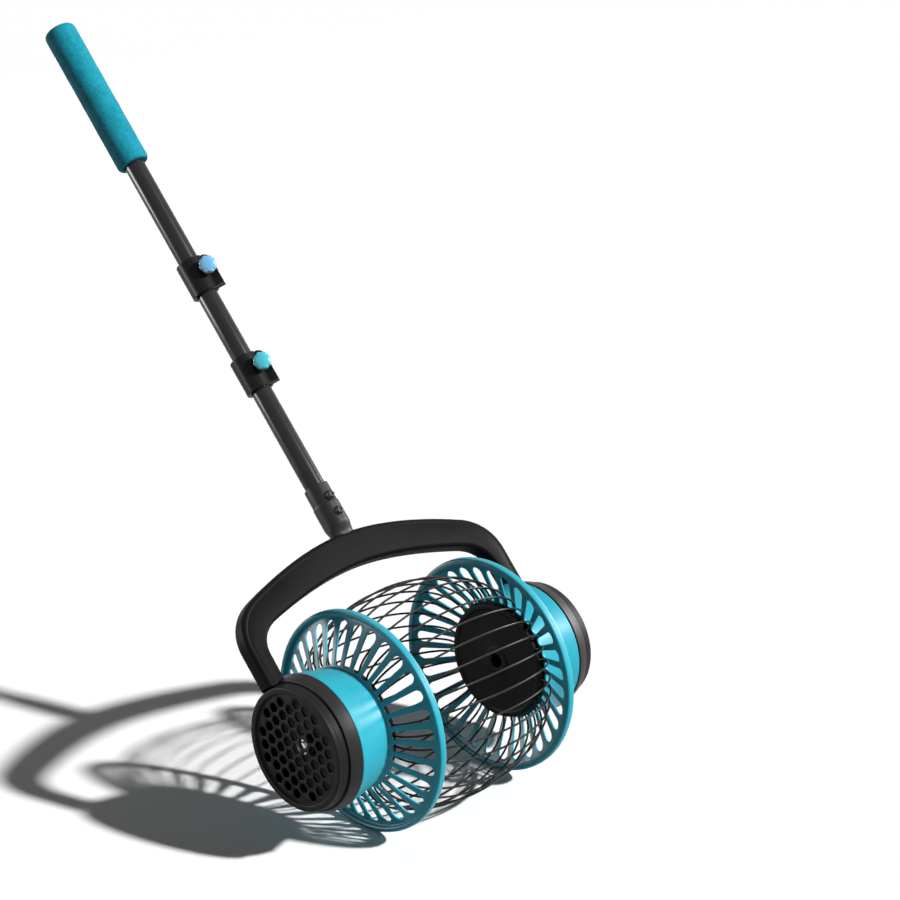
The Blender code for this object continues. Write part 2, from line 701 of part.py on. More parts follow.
def make_cover(side, label):
    plate_x = COVER_FACE_X - GRILLE_RECESS
    back_x = plate_x - GRILLE_THICKNESS
    spigot_radius = HOUSING_BORE_RADIUS - SEAT_GAP
    grille_radius = COVER_FACE_RADIUS - COVER_RIM_WIDTH
    edge = 0.5 * GRILLE_RECESS
    profile = [
        (0.0, plate_x),
        (grille_radius - edge, plate_x),
        (grille_radius, COVER_FACE_X),
        (COVER_FACE_RADIUS - edge, COVER_FACE_X),
        (COVER_FACE_RADIUS, COVER_FACE_X - edge),
        (COVER_RADIUS, COVER_X),
        (spigot_radius, COVER_X),
        (spigot_radius, COVER_X - COVER_SPIGOT_DEPTH),
        (spigot_radius - COVER_WALL, COVER_X - COVER_SPIGOT_DEPTH),
        (spigot_radius - COVER_WALL, back_x),
        (0.0, back_x),
    ]
    cover = turned(label + "_grille_cover", profile, PARTS, COVER_STEPS)
    place(cover, YOKE, rotation=outwards(side))
    tab = box(label + "_cover_tab", (TAB_SIZE, TAB_SIZE, 0.8 * TAB_SIZE), CUTTERS)
    angle = math.radians(TAB_ANGLE_DEG)
    spot = (
        side * (COVER_X + 0.5 * COVER_LENGTH),
        COVER_FACE_RADIUS * math.sin(angle),
        COVER_FACE_RADIUS * math.cos(angle),
    )
    combine(cover, place(tab, YOKE, spot, (-angle, 0.0, 0.0)), "UNION")
    hole_radius = GRILLE_HOLE_FLATS / math.sqrt(3.0)
    holes = prisms(
        label + "_grille_holes",
        grille_places(grille_radius - edge - hole_radius),
        hole_radius,
        3.0 * GRILLE_THICKNESS,
        CUTTERS,
        6,
        0.5 * math.pi,
    )
    middle_x = side * 0.5 * (plate_x + back_x)
    combine(cover, place(holes, YOKE, (middle_x, 0.0, 0.0), outwards(side)), "DIFFERENCE")
    finish(cover, BLACK_PLASTIC)


# Pole: three tubes, each with a spigot in the one below
def make_lower_pole(bolt_holes):
    profile = [
        (POLE_RADIUS, LOWER_SEAM),
        (POLE_RADIUS, POLE_FOOT),
        (POLE_RADIUS - POLE_WALL, POLE_FOOT),
        (POLE_RADIUS - POLE_WALL, LOWER_SEAM),
    ]
    pole = place(turned("lower_pole", profile, PARTS, TUBE_STEPS), POLE)
    combine(pole, bolt_holes, "DIFFERENCE")
    finish(pole, POLE_PAINT)


def make_upper_section(name, seam, top):
    """A tube whose foot carries a spigot into the tube below."""
    shoulder = seam + SEAT_GAP
    spigot_radius = POLE_RADIUS - POLE_WALL - SEAT_GAP
    spigot_foot = seam - SPIGOT_LENGTH
    profile = [
        (POLE_RADIUS, top),
        (POLE_RADIUS, shoulder),
        (spigot_radius, shoulder),
        (spigot_radius, spigot_foot),
        (spigot_radius - POLE_WALL, spigot_foot),
        (spigot_radius - POLE_WALL, shoulder + 2.0 * POLE_WALL),
        (POLE_RADIUS - POLE_WALL, shoulder + 4.0 * POLE_WALL),
        (POLE_RADIUS - POLE_WALL, top),
    ]
    place(finish(turned(name, profile, PARTS, TUBE_STEPS), POLE_PAINT), POLE)


# Clamps: a slit sleeve with a lug, a knob with its stud, and a nut
def make_clamp(label, seam):
    turn = (0.0, 0.0, math.radians(CLAMP_TURN_DEG))
    frame = axis_empty(label + "_clamp_axis", (0.0, 0.0, seam), turn, POLE)
    half = 0.5 * CLAMP_LENGTH
    profile = [
        (CLAMP_RADIUS, half),
        (CLAMP_RADIUS, -half),
        (TUBE_BORE_RADIUS, -half),
        (TUBE_BORE_RADIUS, half),
    ]
    clamp = place(turned(label + "_clamp", profile, PARTS, TUBE_STEPS), frame)
    root_x = 0.5 * (TUBE_BORE_RADIUS + CLAMP_RADIUS)
    corner = (LUG_REACH - LUG_CORNER, half - RUNNING_GAP - LUG_CORNER)
    lug_outline = [(root_x, RUNNING_GAP - half), (LUG_REACH, RUNNING_GAP - half)]
    lug_outline += arc(corner, LUG_CORNER, 0.0, 90.0, 5)
    lug_outline.append((root_x, half - RUNNING_GAP))
    lug = extruded(label + "_lug", [lug_outline], LUG_THICKNESS, CUTTERS)
    combine(clamp, place(lug, frame, rotation=TO_FRONT), "UNION")
    boss_centres = [(0.0, 0.0, 0.5 * (KNOB_BOSS_Y - NUT_BOSS_Y))]
    boss_length = KNOB_BOSS_Y + NUT_BOSS_Y
    boss = prisms(label + "_boss", boss_centres, KNOB_BOSS_RADIUS, boss_length, CUTTERS, TUBE_STEPS)
    combine(clamp, place(boss, frame, (KNOB_REACH, 0.0, KNOB_RAISE), TO_FRONT), "UNION")
    slit = box(label + "_slit", (1.5 * LUG_REACH, CLAMP_SLIT, 2.0 * CLAMP_LENGTH), CUTTERS)
    combine(clamp, place(slit, frame, (0.75 * LUG_REACH, 0.0, 0.0)), "DIFFERENCE")
    hole_length = 3.0 * LUG_THICKNESS
    stud_hole = prisms(
        label + "_stud_hole", [(0.0, 0.0, 0.0)], STUD_HOLE_RADIUS, hole_length, CUTTERS, BOLT_STEPS
    )
    combine(clamp, place(stud_hole, frame, (KNOB_REACH, 0.0, KNOB_RAISE), TO_FRONT), "DIFFERENCE")
    finish(clamp, BLACK_PLASTIC)
    make_knob(label, frame)
    make_nut(label, frame)


def make_knob(label, frame):
    """A fluted knob on the boss of the lug's front, and its stud through both ears."""
    outline = []
    for i in range(LOBE_STEPS * KNOB_LOBES):
        angle = 2.0 * math.pi * i / (LOBE_STEPS * KNOB_LOBES)
        radius = KNOB_RADIUS - 0.5 * KNOB_LOBE_DEPTH * (1.0 - math.cos(KNOB_LOBES * angle))
        outline.append((radius * math.cos(angle), radius * math.sin(angle)))
    knob = extruded(label + "_knob", [outline], KNOB_HEIGHT, PARTS)
    bevel(knob, KNOB_CHAMFER, 1, 50.0)
    middle_y = KNOB_BOSS_Y + SEAT_GAP + 0.5 * KNOB_HEIGHT
    place(knob, frame, (KNOB_REACH, -middle_y, KNOB_RAISE), TO_FRONT)
    stud_length = middle_y + NUT_BOSS_Y + SEAT_GAP + NUT_THICKNESS + STUD_TAIL
    stud = prisms(
        label + "_stud", [(0.0, 0.0, -0.5 * stud_length)], STUD_RADIUS, stud_length, CUTTERS, BOLT_STEPS
    )
    combine(knob, place(stud, frame, knob.location, TO_FRONT), "UNION")
    finish(knob, KNOB_PLASTIC)


def make_nut(label, frame):
    outlines = [
        arc((0.0, 0.0), NUT_RADIUS, 0.0, 300.0, 6),
        arc((0.0, 0.0), STUD_HOLE_RADIUS, 0.0, 330.0, 12),
    ]
    nut = finish(extruded(label + "_nut", outlines, NUT_THICKNESS, PARTS), BLACK_STEEL)
    middle_y = NUT_BOSS_Y + SEAT_GAP + 0.5 * NUT_THICKNESS
    place(nut, frame, (KNOB_REACH, middle_y, KNOB_RAISE), TO_FRONT)


# Grip
def make_grip():
    inset_radius = GRIP_RADIUS - GRIP_ROUNDING
    profile = [(0.0, GRIP_TOP)]
    profile += reversed(arc((inset_radius, GRIP_TOP - GRIP_ROUNDING), GRIP_ROUNDING, 0.0, 90.0, 4))
    profile += reversed(arc((inset_radius, GRIP_FOOT + GRIP_ROUNDING), GRIP_ROUNDING, -90.0, 0.0, 4))
    profile.append((TUBE_BORE_RADIUS, GRIP_FOOT))
    profile.append((TUBE_BORE_RADIUS, POLE_TOP + SEAT_GAP))
    profile.append((0.0, POLE_TOP + SEAT_GAP))
    place(finish(turned("foam_grip", profile, PARTS, TUBE_STEPS), GRIP_FOAM), POLE)


def make_bolt_holes():
    """The socket bolts' holes through the front walls of the socket and the lower tube, as one cutter."""
    centres = [(0.0, UPPER_BOLT, BOLT_SEAT_Y), (0.0, LOWER_BOLT, BOLT_SEAT_Y)]
    hole_radius = BOLT_RADIUS + SEAT_GAP
    holes = prisms("socket_bolt_holes", centres, hole_radius, 1.5 * BOLT_SEAT_Y, CUTTERS, BOLT_STEPS)
    return place(holes, POLE, rotation=TO_FRONT)


make_wheels()
make_wires()
make_hub_plates()
make_bushes()
make_axle_bolts()
BOLT_HOLES = make_bolt_holes()
make_yoke(BOLT_HOLES)
make_socket_bolts()
make_cover(-1, "left")
make_cover(1, "right")
make_lower_pole(BOLT_HOLES)
make_upper_section("middle_pole", LOWER_SEAM, UPPER_SEAM)
make_upper_section("upper_pole", UPPER_SEAM, POLE_TOP)
make_clamp("lower", LOWER_SEAM)
make_clamp("upper", UPPER_SEAM)
make_grip()
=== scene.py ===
"""Tennis ball roller collector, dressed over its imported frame.

World frame: +X along the axle, the pole leans towards +Y, +Z up, the wheels stand on Z = 0.
Yoke frame: origin on the axle's middle, Z up the pole, -Y the yoke's front.
Each new piece is a surface on a grid of two parameters, worked out with numpy, in row coordinates.
"""

import logging
import math
from dataclasses import dataclass
from enum import Enum
from typing import Callable, Sequence

import bmesh
import bpy
import numpy as np
from mathutils import Matrix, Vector
from numpy.typing import NDArray


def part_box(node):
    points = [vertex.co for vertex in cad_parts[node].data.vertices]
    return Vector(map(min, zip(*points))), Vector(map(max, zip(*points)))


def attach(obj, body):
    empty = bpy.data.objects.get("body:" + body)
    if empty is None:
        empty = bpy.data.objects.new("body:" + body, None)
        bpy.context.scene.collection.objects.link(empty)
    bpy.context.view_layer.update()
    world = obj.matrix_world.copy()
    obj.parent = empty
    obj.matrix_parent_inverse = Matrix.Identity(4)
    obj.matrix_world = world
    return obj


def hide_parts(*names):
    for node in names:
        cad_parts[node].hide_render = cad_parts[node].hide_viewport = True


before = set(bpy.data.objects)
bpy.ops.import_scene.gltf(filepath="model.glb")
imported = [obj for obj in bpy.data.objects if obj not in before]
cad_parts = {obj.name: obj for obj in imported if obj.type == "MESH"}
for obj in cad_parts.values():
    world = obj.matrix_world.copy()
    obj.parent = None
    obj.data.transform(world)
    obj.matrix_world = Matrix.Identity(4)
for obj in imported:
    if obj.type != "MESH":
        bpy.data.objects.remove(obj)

Points = NDArray[np.float64]
Pair = tuple[float, float]
Triple = tuple[float, float, float]
Reach = float | Sequence[float]
Material = bpy.types.Material
Socket = bpy.types.NodeSocket
Tree = bpy.types.NodeTree
LOG = logging.getLogger("collector")
TAU = 2.0 * math.pi
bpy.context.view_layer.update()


# Shapes on grids
def span(start: float | Sequence[float], stop: float | Sequence[float], count: int) -> Points:
    """Evenly spaced values or points, both ends included."""
    return np.linspace(start, stop, count)


def circle(steps: int) -> Points:
    """Evenly spaced angles once round."""
    return TAU * np.arange(steps) / steps


def polar(radius: float | Points, angle: Points) -> Points:
    """Flat points (r cos t, r sin t)."""
    return np.stack([radius * np.cos(angle), radius * np.sin(angle)], axis=-1)


def soften(corners: Sequence[Pair], reach: Reach, steps: int, closed: bool = True) -> Points:
    """Round a polyline's corners.

    Each corner B becomes a parabola from a point A before it to a point C behind it: the sum of A (1-t)^2,
    B 2t(1-t) and C t^2.  A and C lie the reach away, or 0.48 of the side where it is shorter.

    Args:
        corners: the polyline's corners.
        reach: how far from a corner its round starts, for all or for each corner.
        steps: how many points each corner gets.
        closed: whether the last corner joins the first; if not, both ends stay sharp.

    Returns:
        The rounded polyline's points.
    """
    middle = np.asarray(corners, dtype=float)
    wanted = np.reshape(reach, (-1, 1))
    start, end = (
        middle + side * np.minimum(wanted / np.linalg.norm(side, axis=1, keepdims=True), 0.48)
        for side in (np.roll(middle, 1, axis=0) - middle, np.roll(middle, -1, axis=0) - middle)
    )
    t = span(0.0, 1.0, steps)[None, :, None]
    arcs = (1 - t) ** 2 * start[:, None] + 2 * t * (1 - t) * middle[:, None] + t**2 * end[:, None]
    if closed:
        return arcs.reshape(-1, 2)
    return np.vstack([middle[:1], arcs[1:-1].reshape(-1, 2), middle[-1:]])


@dataclass
class Surface:
    """Points, and quads as four point numbers each."""

    points: Points
    faces: NDArray[np.int64]

    def moved(self, matrix: Points) -> "Surface":
        """The surface under a 4 by 4 matrix."""
        return Surface(self.points @ matrix[:3, :3].T + matrix[:3, 3], self.faces)

    def mesh(self, place: Points) -> bpy.types.Mesh:
        """The surface as a mesh.

        Args:
            place: the matrix from the surface's frame to the row frame.

        Returns:
            The mesh.
        """
        mesh = bpy.data.meshes.new("skin")
        mesh.from_pydata(self.moved(place).points.tolist(), [], self.faces.tolist())
        return mesh

    def swollen(self, change: Callable[[Points, Points, Points], Points]) -> "Surface":
        """Move the points away from Z.

        Args:
            change: how far each point moves, from its radius, its angle about Z and its height.

        Returns:
            The changed surface.
        """
        x, y, z = self.points.T
        radius = np.hypot(x, y)
        scale = 1.0 + change(radius, np.arctan2(y, x), z) / np.maximum(radius, 1e-6)
        return Surface(np.stack([x * scale, y * scale, z], axis=1), self.faces)


def join(surfaces: Sequence[Surface]) -> Surface:
    """Several surfaces as one.

    Args:
        surfaces: the surfaces.

    Returns:
        The joined surface.
    """
    starts = np.cumsum([0] + [len(surface.points) for surface in surfaces])
    faces = [surface.faces + start for surface, start in zip(surfaces, starts)]
    return Surface(np.vstack([surface.points for surface in surfaces]), np.vstack(faces))


def skin(points: Points, closed: bool = False) -> Surface:
    """A surface over rows of points, each row a ring.  The point (i, j) has the number i * columns + j.

    Args:
        points: an array of rows by columns by three.
        closed: whether the last row joins the first.

    Returns:
        The surface.
    """
    rows, columns = points.shape[:2]
    i, j = np.meshgrid(np.arange(rows if closed else rows - 1), np.arange(columns), indexing="ij")
    here, there = i * columns, (i + 1) % rows * columns
    after = (j + 1) % columns
    quads = np.stack([here + j, there + j, there + after, here + after], axis=-1)
    return Surface(points.reshape(-1, 3), quads.reshape(-1, 4))


def capped(points: Points, ends: Points) -> Surface:
    """A surface over rows of points as in skin, drawn to a point at each end."""
    caps = np.repeat(ends[:, None], points.shape[1], axis=1)
    return skin(np.concatenate([caps[:1], points, caps[1:]]))


def revolve(profile: Points, steps: int, closed: bool = True) -> Surface:
    """Turn a profile about Z: a point (r, h) at the angle t goes to (r cos t, r sin t, h).

    Args:
        profile: (radius, height) points.
        steps: points around the axis.
        closed: whether the profile's last point joins its first.

    Returns:
        The surface.
    """
    height = np.repeat(profile[:, 1, None, None], steps, axis=1)
    return skin(np.concatenate([polar(profile[:, :1], circle(steps)), height], axis=-1), closed)


def lathe(corners: Sequence[Pair], reach: Reach, fine: int, steps: int, closed: bool = True) -> Surface:
    """Turn a polyline of (radius, height) points with rounded corners about Z: see soften and revolve."""
    return revolve(soften(corners, reach, fine, closed), steps, closed)


def with_rows(profile: Points, radius: float, heights: Points) -> Points:
    """A profile with more rows on its straight side: at a radius, and at heights that fall.

    Args:
        profile: (radius, height) points that fall along the side.
        radius: the side's radius.
        heights: the new rows' heights.

    Returns:
        The longer profile.
    """
    index = int(np.argmax(profile[:, 1] < heights[0]))
    rows = np.column_stack([np.full(len(heights), radius), heights])
    return np.vstack([profile[:index], rows, profile[index:]])


def bezier(knots: Sequence[Pair], count: int) -> Points:
    """A cubic from four points: the sum of a (1-t)^3, b 3t(1-t)^2, c 3t^2(1-t) and d t^3.

    Args:
        knots: the points a, b, c and d.
        count: how many points the curve gets.

    Returns:
        The curve's points.
    """
    a, b, c, d = np.array(knots)
    t = span(0.0, 1.0, count)[:, None]
    return a * (1 - t) ** 3 + 3 * b * t * (1 - t) ** 2 + 3 * c * t**2 * (1 - t) + d * t**3


def rotation(axis: str, angle: float) -> Points:
    """A 4 by 4 turn about X, Y or Z.

    Args:
        axis: the axis.
        angle: the angle in radians.

    Returns:
        The matrix.
    """
    first, second = {"X": (1, 2), "Y": (2, 0), "Z": (0, 1)}[axis]
    matrix = np.eye(4)
    matrix[first, first] = matrix[second, second] = math.cos(angle)
    matrix[first, second] = -math.sin(angle)
    matrix[second, first] = math.sin(angle)
    return matrix


def shift(x: float, y: float, z: float) -> Points:
    """A 4 by 4 move."""
    return np.vstack([np.column_stack([np.eye(3), (x, y, z)]), (0.0, 0.0, 0.0, 1.0)])


def axes(right: Points, up: Points, back: Points, spot: Points) -> Matrix:
    """An object's matrix from its three directions and its place."""
    return Matrix([*np.stack([right, up, back, spot], axis=1).tolist(), (0.0, 0.0, 0.0, 1.0)])


def new_object(name: str, data: bpy.types.ID) -> bpy.types.Object:
    """A new object in the scene.

    Args:
        name: its name.
        data: its mesh, curve, lamp or camera.

    Returns:
        The object.
    """
    thing = bpy.data.objects.new(name, data)
    bpy.context.scene.collection.objects.link(thing)
    return thing


# Places shared by the pieces
TO_FRONT = rotation("X", 0.25 * TAU)


class Side(Enum):
    """The two ends of the axle, with the sign of X there."""

    LEFT = -1
    RIGHT = 1

    @property
    def label(self) -> str:
        """The side's name in node names."""
        return self.name.lower()

    @property
    def outwards(self) -> Points:
        """A turn that points Z outwards along the axle."""
        return rotation("Y", self.value * 0.25 * TAU)


@dataclass(frozen=True)
class Layout:
    """The axes of the collector, in row coordinates."""

    axle_y: float = 0.5 * (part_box("left_wheel")[0][1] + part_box("left_wheel")[1][1])
    axle_z: float = 0.146
    lean: float = math.radians(43.0)
    front_offset: float = 0.007
    clamp_turn: float = math.radians(-43.0)
    lower_seam: float = 0.4795
    upper_seam: float = 0.631

    def cage(self) -> Points:
        """From the cage's frame to the row frame."""
        return shift(0.0, self.axle_y, self.axle_z)

    def yoke(self) -> Points:
        """From the yoke's frame to the row frame."""
        return self.cage() @ rotation("X", -self.lean)

    def pole(self) -> Points:
        """From a frame on the pole's axis to the row frame."""
        return self.yoke() @ shift(0.0, -self.front_offset, 0.0)

    def clamp(self, seam: float) -> Points:
        """From a clamp's frame, with its lug along X and its knob facing -Y, to the row frame."""
        return self.pole() @ shift(0.0, 0.0, seam) @ rotation("Z", self.clamp_turn)


# Node trees
class Sheet:
    """A node tree with short calls to add and to join nodes."""

    def __init__(self, tree: Tree) -> None:
        """Wrap a node tree."""
        self.tree = tree

    def feed(self, node: bpy.types.Node, inputs: dict) -> None:
        """Give a node's inputs, by name or number, a value or the output socket that feeds them.

        Args:
            node: the node.
            inputs: input name or number to its value or socket.
        """
        for key, value in inputs.items():
            if isinstance(value, Socket):
                self.tree.links.new(value, node.inputs[key])
            else:
                node.inputs[key].default_value = value

    def add(self, kind: str, inputs: dict | None = None, **settings: object) -> bpy.types.Node:
        """Add a node.

        Args:
            kind: the node's type name.
            inputs: what its inputs get: see feed.
            settings: the node's own properties.

        Returns:
            The new node.
        """
        node = self.tree.nodes.new(kind)
        for name, value in settings.items():
            setattr(node, name, value)
        self.feed(node, inputs or {})
        return node

    def noise(self, vector: Socket, scale: float | Socket, detail: float, roughness: float = 0.5) -> Socket:
        """A noise texture's value."""
        inputs = {"Vector": vector, "Scale": scale, "Detail": detail, "Roughness": roughness}
        return self.add("ShaderNodeTexNoise", inputs).outputs["Fac"]

    def stretched(self, vector: Socket, scale: Triple) -> Socket:
        """Coordinates scaled along X, Y and Z."""
        return self.add("ShaderNodeMapping", {"Vector": vector, "Scale": scale}).outputs["Vector"]

    def remap(self, value: Socket, low: float, high: float, to_low: float | Socket = 0.0,
              to_high: float | Socket = 1.0) -> Socket:
        """A value's range stretched to another range, and held there."""
        inputs = {"Value": value, "From Min": low, "From Max": high, "To Min": to_low, "To Max": to_high}
        return self.add("ShaderNodeMapRange", inputs).outputs["Result"]

    def blend(self, share: Socket, first: object, second: object) -> Socket:
        """Two colours mixed by a share."""
        return self.add("ShaderNodeMix", {0: share, 6: first, 7: second}, data_type="RGBA").outputs[2]

    def math(self, operation: str, first: Socket, second: Socket | float) -> Socket:
        """Two values joined by an operation."""
        return self.add("ShaderNodeMath", {0: first, 1: second}, operation=operation).outputs[0]

    def give(self, **outputs: Socket) -> Tree:
        """End a node group with an output for each name, and return its tree.

        Args:
            outputs: output name to the socket that feeds it.

        Returns:
            The group's tree.
        """
        for name, value in outputs.items():
            kind = "NodeSocketColor" if value.type == "RGBA" else "NodeSocketFloat"
            self.tree.interface.new_socket(name, in_out="OUTPUT", socket_type=kind)
        self.add("NodeGroupOutput", outputs)
        return self.tree


def new_group(name: str, **inputs: float | tuple) -> tuple[Sheet, dict[str, Socket]]:
    """Start a shader node group whose first input, Vector, is the place that its patterns read.

    Args:
        name: the group's name.
        inputs: each other input's name, with _ for a space, and its default, a number or a colour.

    Returns:
        The group's sheet and its inputs by name.
    """
    tree = bpy.data.node_groups.new(name, "ShaderNodeTree")
    tree.interface.new_socket("Vector", in_out="INPUT", socket_type="NodeSocketVector")
    for label, default in inputs.items():
        kind = "NodeSocketFloat" if isinstance(default, float) else "NodeSocketColor"
        socket = tree.interface.new_socket(label.replace("_", " "), in_out="INPUT", socket_type=kind)
        socket.default_value = default
    return Sheet(tree), tree.nodes.new("NodeGroupInput").outputs


def moulded_group() -> Tree:
    """Moulded plastic: a fine eroded grain, a slow drift of tone and the sheen it rubs to.

    Returns:
        The group's tree.
    """
    sheet, given = new_group("moulded_grain", Base=(0.5, 0.5, 0.5, 1.0), Rubbed=(0.6, 0.6, 0.6, 1.0),
                             Grain_Scale=1800.0, Drift_Scale=22.0, Smooth=0.35, Rough=0.5)
    grain = sheet.noise(given["Vector"], given["Grain Scale"], 2.0)
    drift = sheet.noise(given["Vector"], given["Drift Scale"], 4.0, 0.6)
    mixed = sheet.math("ADD", sheet.math("MULTIPLY", grain, 0.5), sheet.math("MULTIPLY", drift, 0.5))
    return sheet.give(
        Color=sheet.blend(sheet.remap(drift, 0.42, 0.66), given["Base"], given["Rubbed"]),
        Roughness=sheet.remap(mixed, 0.35, 0.65, given["Smooth"], given["Rough"]),
        Height=grain,
    )


def scuff_group() -> Tree:
    """Fine scratches that run round X, as on what rolls: stretched noise, thinned to streaks.

    Returns:
        The group's tree.
    """
    sheet, given = new_group("rolling_scuffs", Scale=30.0, Amount=0.5)
    streaks = sheet.noise(sheet.stretched(given["Vector"], (14.0, 1.0, 1.0)), given["Scale"], 5.0, 0.65)
    patches = sheet.noise(given["Vector"], 9.0, 2.0)
    mask = sheet.math("MULTIPLY", sheet.remap(streaks, 0.56, 0.68), sheet.remap(patches, 0.45, 0.7))
    return sheet.give(Mask=sheet.math("MULTIPLY", mask, given["Amount"]))


def dust_group() -> Tree:
    """Thin dust that settles on faces that look up: the normal's rise, broken by noise.

    Returns:
        The group's tree.
    """
    sheet, given = new_group("settled_dust", Amount=0.3)
    normal = sheet.add("ShaderNodeNewGeometry").outputs["Normal"]
    rise = sheet.add("ShaderNodeSeparateXYZ", {0: normal}).outputs["Z"]
    speck = sheet.noise(given["Vector"], 260.0, 4.0, 0.7)
    mask = sheet.math("MULTIPLY", sheet.remap(rise, 0.2, 1.0), sheet.remap(speck, 0.4, 0.75))
    return sheet.give(Mask=sheet.math("MULTIPLY", mask, given["Amount"]))


def foam_group() -> Tree:
    """Closed-cell foam: cells of two sizes, with painted shade in the low pits between them, mixed with a
    random tone.

    Returns:
        The group's tree.
    """
    sheet, given = new_group("foam_cells", Skin=(0.5, 0.5, 0.5, 1.0), Pit=(0.2, 0.2, 0.2, 1.0),
                             Cell_Scale=700.0)
    cells = sheet.add("ShaderNodeTexVoronoi", {"Vector": given["Vector"], "Scale": given["Cell Scale"]})
    coarse = sheet.noise(given["Vector"], 210.0, 4.0, 0.65)
    cloud = sheet.noise(given["Vector"], 38.0, 3.0, 0.6)
    height = sheet.math("ADD", sheet.math("MULTIPLY", cells.outputs["Distance"], 0.5), coarse)
    # Painted shade: the colour darkens where the relief is low, mixed with a random cloud of tone
    tone = sheet.math("ADD", sheet.math("MULTIPLY", height, 0.55), sheet.math("MULTIPLY", cloud, 0.45))
    return sheet.give(
        Color=sheet.blend(sheet.remap(tone, 0.42, 0.74), given["Pit"], given["Skin"]),
        Roughness=sheet.remap(height, 0.4, 0.9, 0.95, 0.72),
        Height=height,
    )


def turned_group() -> Tree:
    """Turned or brushed metal: fine lines from noise that is stretched along Y.

    Returns:
        The group's tree.
    """
    sheet, given = new_group("turned_rings", Scale=900.0)
    lines = sheet.noise(sheet.stretched(given["Vector"], (1.0, 0.06, 1.0)), given["Scale"], 3.0, 0.6)
    return sheet.give(Tone=sheet.remap(lines, 0.3, 0.7), Height=lines)


@dataclass(frozen=True)
class Groups:
    """The node groups that the finishes share, each built once."""

    moulded: Tree
    scuffs: Tree
    dust: Tree
    foam: Tree
    turned: Tree


class Paint(Sheet):
    """A new material's nodes round its Principled shader."""

    def __init__(self, name: str) -> None:
        """Start the material and its Object coordinates.

        Args:
            name: the material's name.
        """
        self.material = bpy.data.materials.new(name)
        self.material.use_nodes = True
        super().__init__(self.material.node_tree)
        self.shader = self.tree.nodes["Principled BSDF"]
        self.place = self.add("ShaderNodeTexCoord").outputs["Object"]

    def group(self, tree: Tree, **inputs: object) -> dict[str, Socket]:
        """Place a node group on the piece's coordinates and return its outputs."""
        named = {label.replace("_", " "): value for label, value in inputs.items()}
        return self.add("ShaderNodeGroup", {"Vector": self.place, **named}, node_tree=tree).outputs

    def finish(self, color: Socket, roughness: Socket, height: Socket, bump: Pair, plain: dict) -> Material:
        """Feed the shader.

        Args:
            color: the base colour.
            roughness: the roughness.
            height: the relief.
            bump: the relief's strength and its depth in metres.
            plain: the shader's inputs that are the same all over.

        Returns:
            The material.
        """
        relief = self.add("ShaderNodeBump", {"Height": height, "Strength": bump[0], "Distance": bump[1]})
        inputs = {"Base Color": color, "Roughness": roughness, "Normal": relief.outputs["Normal"]}
        self.feed(self.shader, inputs | plain)
        return self.material


# Finishes
@dataclass(frozen=True)
class Plastic:
    """A moulded plastic finish."""

    name: str
    base: Triple
    rubbed: Triple
    smooth: float
    rough: float
    shine: float = 0.5
    dust: float = 0.25
    scuffs: float = 0.0
    coat: float = 0.0
    glow_depth: float = 0.0
    grain_scale: float = 1500.0
    grain_depth: float = 0.00004

    def build(self, groups: Groups) -> Material:
        """Build the material: grain under rubbed patches, scuffs that dull it, and dust on top.

        Args:
            groups: the shared node groups.

        Returns:
            The material.
        """
        paint = Paint(self.name)
        grain = paint.group(groups.moulded, Base=(*self.base, 1.0), Rubbed=(*self.rubbed, 1.0),
                            Grain_Scale=self.grain_scale, Smooth=self.smooth, Rough=self.rough)
        color, roughness = grain["Color"], grain["Roughness"]
        if self.scuffs > 0.0:
            mask = paint.group(groups.scuffs, Amount=self.scuffs)["Mask"]
            color = paint.blend(mask, color, (*[0.6 * c + 0.2 for c in self.base], 1.0))
            roughness = paint.math("ADD", roughness, paint.math("MULTIPLY", mask, 0.35))
        if self.dust > 0.0:
            mask = paint.group(groups.dust, Amount=self.dust)["Mask"]
            color = paint.blend(paint.math("MULTIPLY", mask, 0.12), color, (0.35, 0.34, 0.32, 1.0))
            roughness = paint.math("ADD", roughness, paint.math("MULTIPLY", mask, 0.25))
        plain = {"Specular IOR Level": self.shine, "IOR": 1.48, "Coat Weight": self.coat,
                 "Coat Roughness": 0.12}
        if self.glow_depth > 0.0:
            plain |= {"Subsurface Weight": 0.05, "Subsurface Scale": self.glow_depth,
                      "Subsurface Radius": (0.3, 0.8, 1.0)}
        return paint.finish(color, roughness, grain["Height"], (0.35, self.grain_depth), plain)


@dataclass(frozen=True)
class Metal:
    """A bare or plated metal finish with fine machining lines."""

    name: str
    light: Triple
    dark: Triple
    roughness: float

    def build(self, groups: Groups) -> Material:
        """Build the material: two tones of metal by the lines, which also raise the surface.

        Args:
            groups: the shared node groups.

        Returns:
            The material.
        """
        paint = Paint(self.name)
        lines = paint.group(groups.turned, Scale=1100.0)
        color = paint.blend(lines["Tone"], (*self.light, 1.0), (*self.dark, 1.0))
        roughness = paint.remap(lines["Tone"], 0.0, 1.0, self.roughness, self.roughness + 0.15)
        return paint.finish(color, roughness, lines["Height"], (0.3, 0.00005), {"Metallic": 1.0})


@dataclass(frozen=True)
class Foam:
    """A closed-cell foam finish."""

    name: str
    skin: Triple
    pit: Triple

    def build(self, groups: Groups) -> Material:
        """Build the material: cells with painted shade in their low pits, matt, with a soft sheen at grazing
        angles.

        Args:
            groups: the shared node groups.

        Returns:
            The material.
        """
        paint = Paint(self.name)
        cells = paint.group(groups.foam, Skin=(*self.skin, 1.0), Pit=(*self.pit, 1.0))
        plain = {"Sheen Weight": 0.03, "Sheen Roughness": 0.6, "Specular IOR Level": 0.06}
        return paint.finish(cells["Color"], cells["Roughness"], cells["Height"], (0.8, 0.0004), plain)


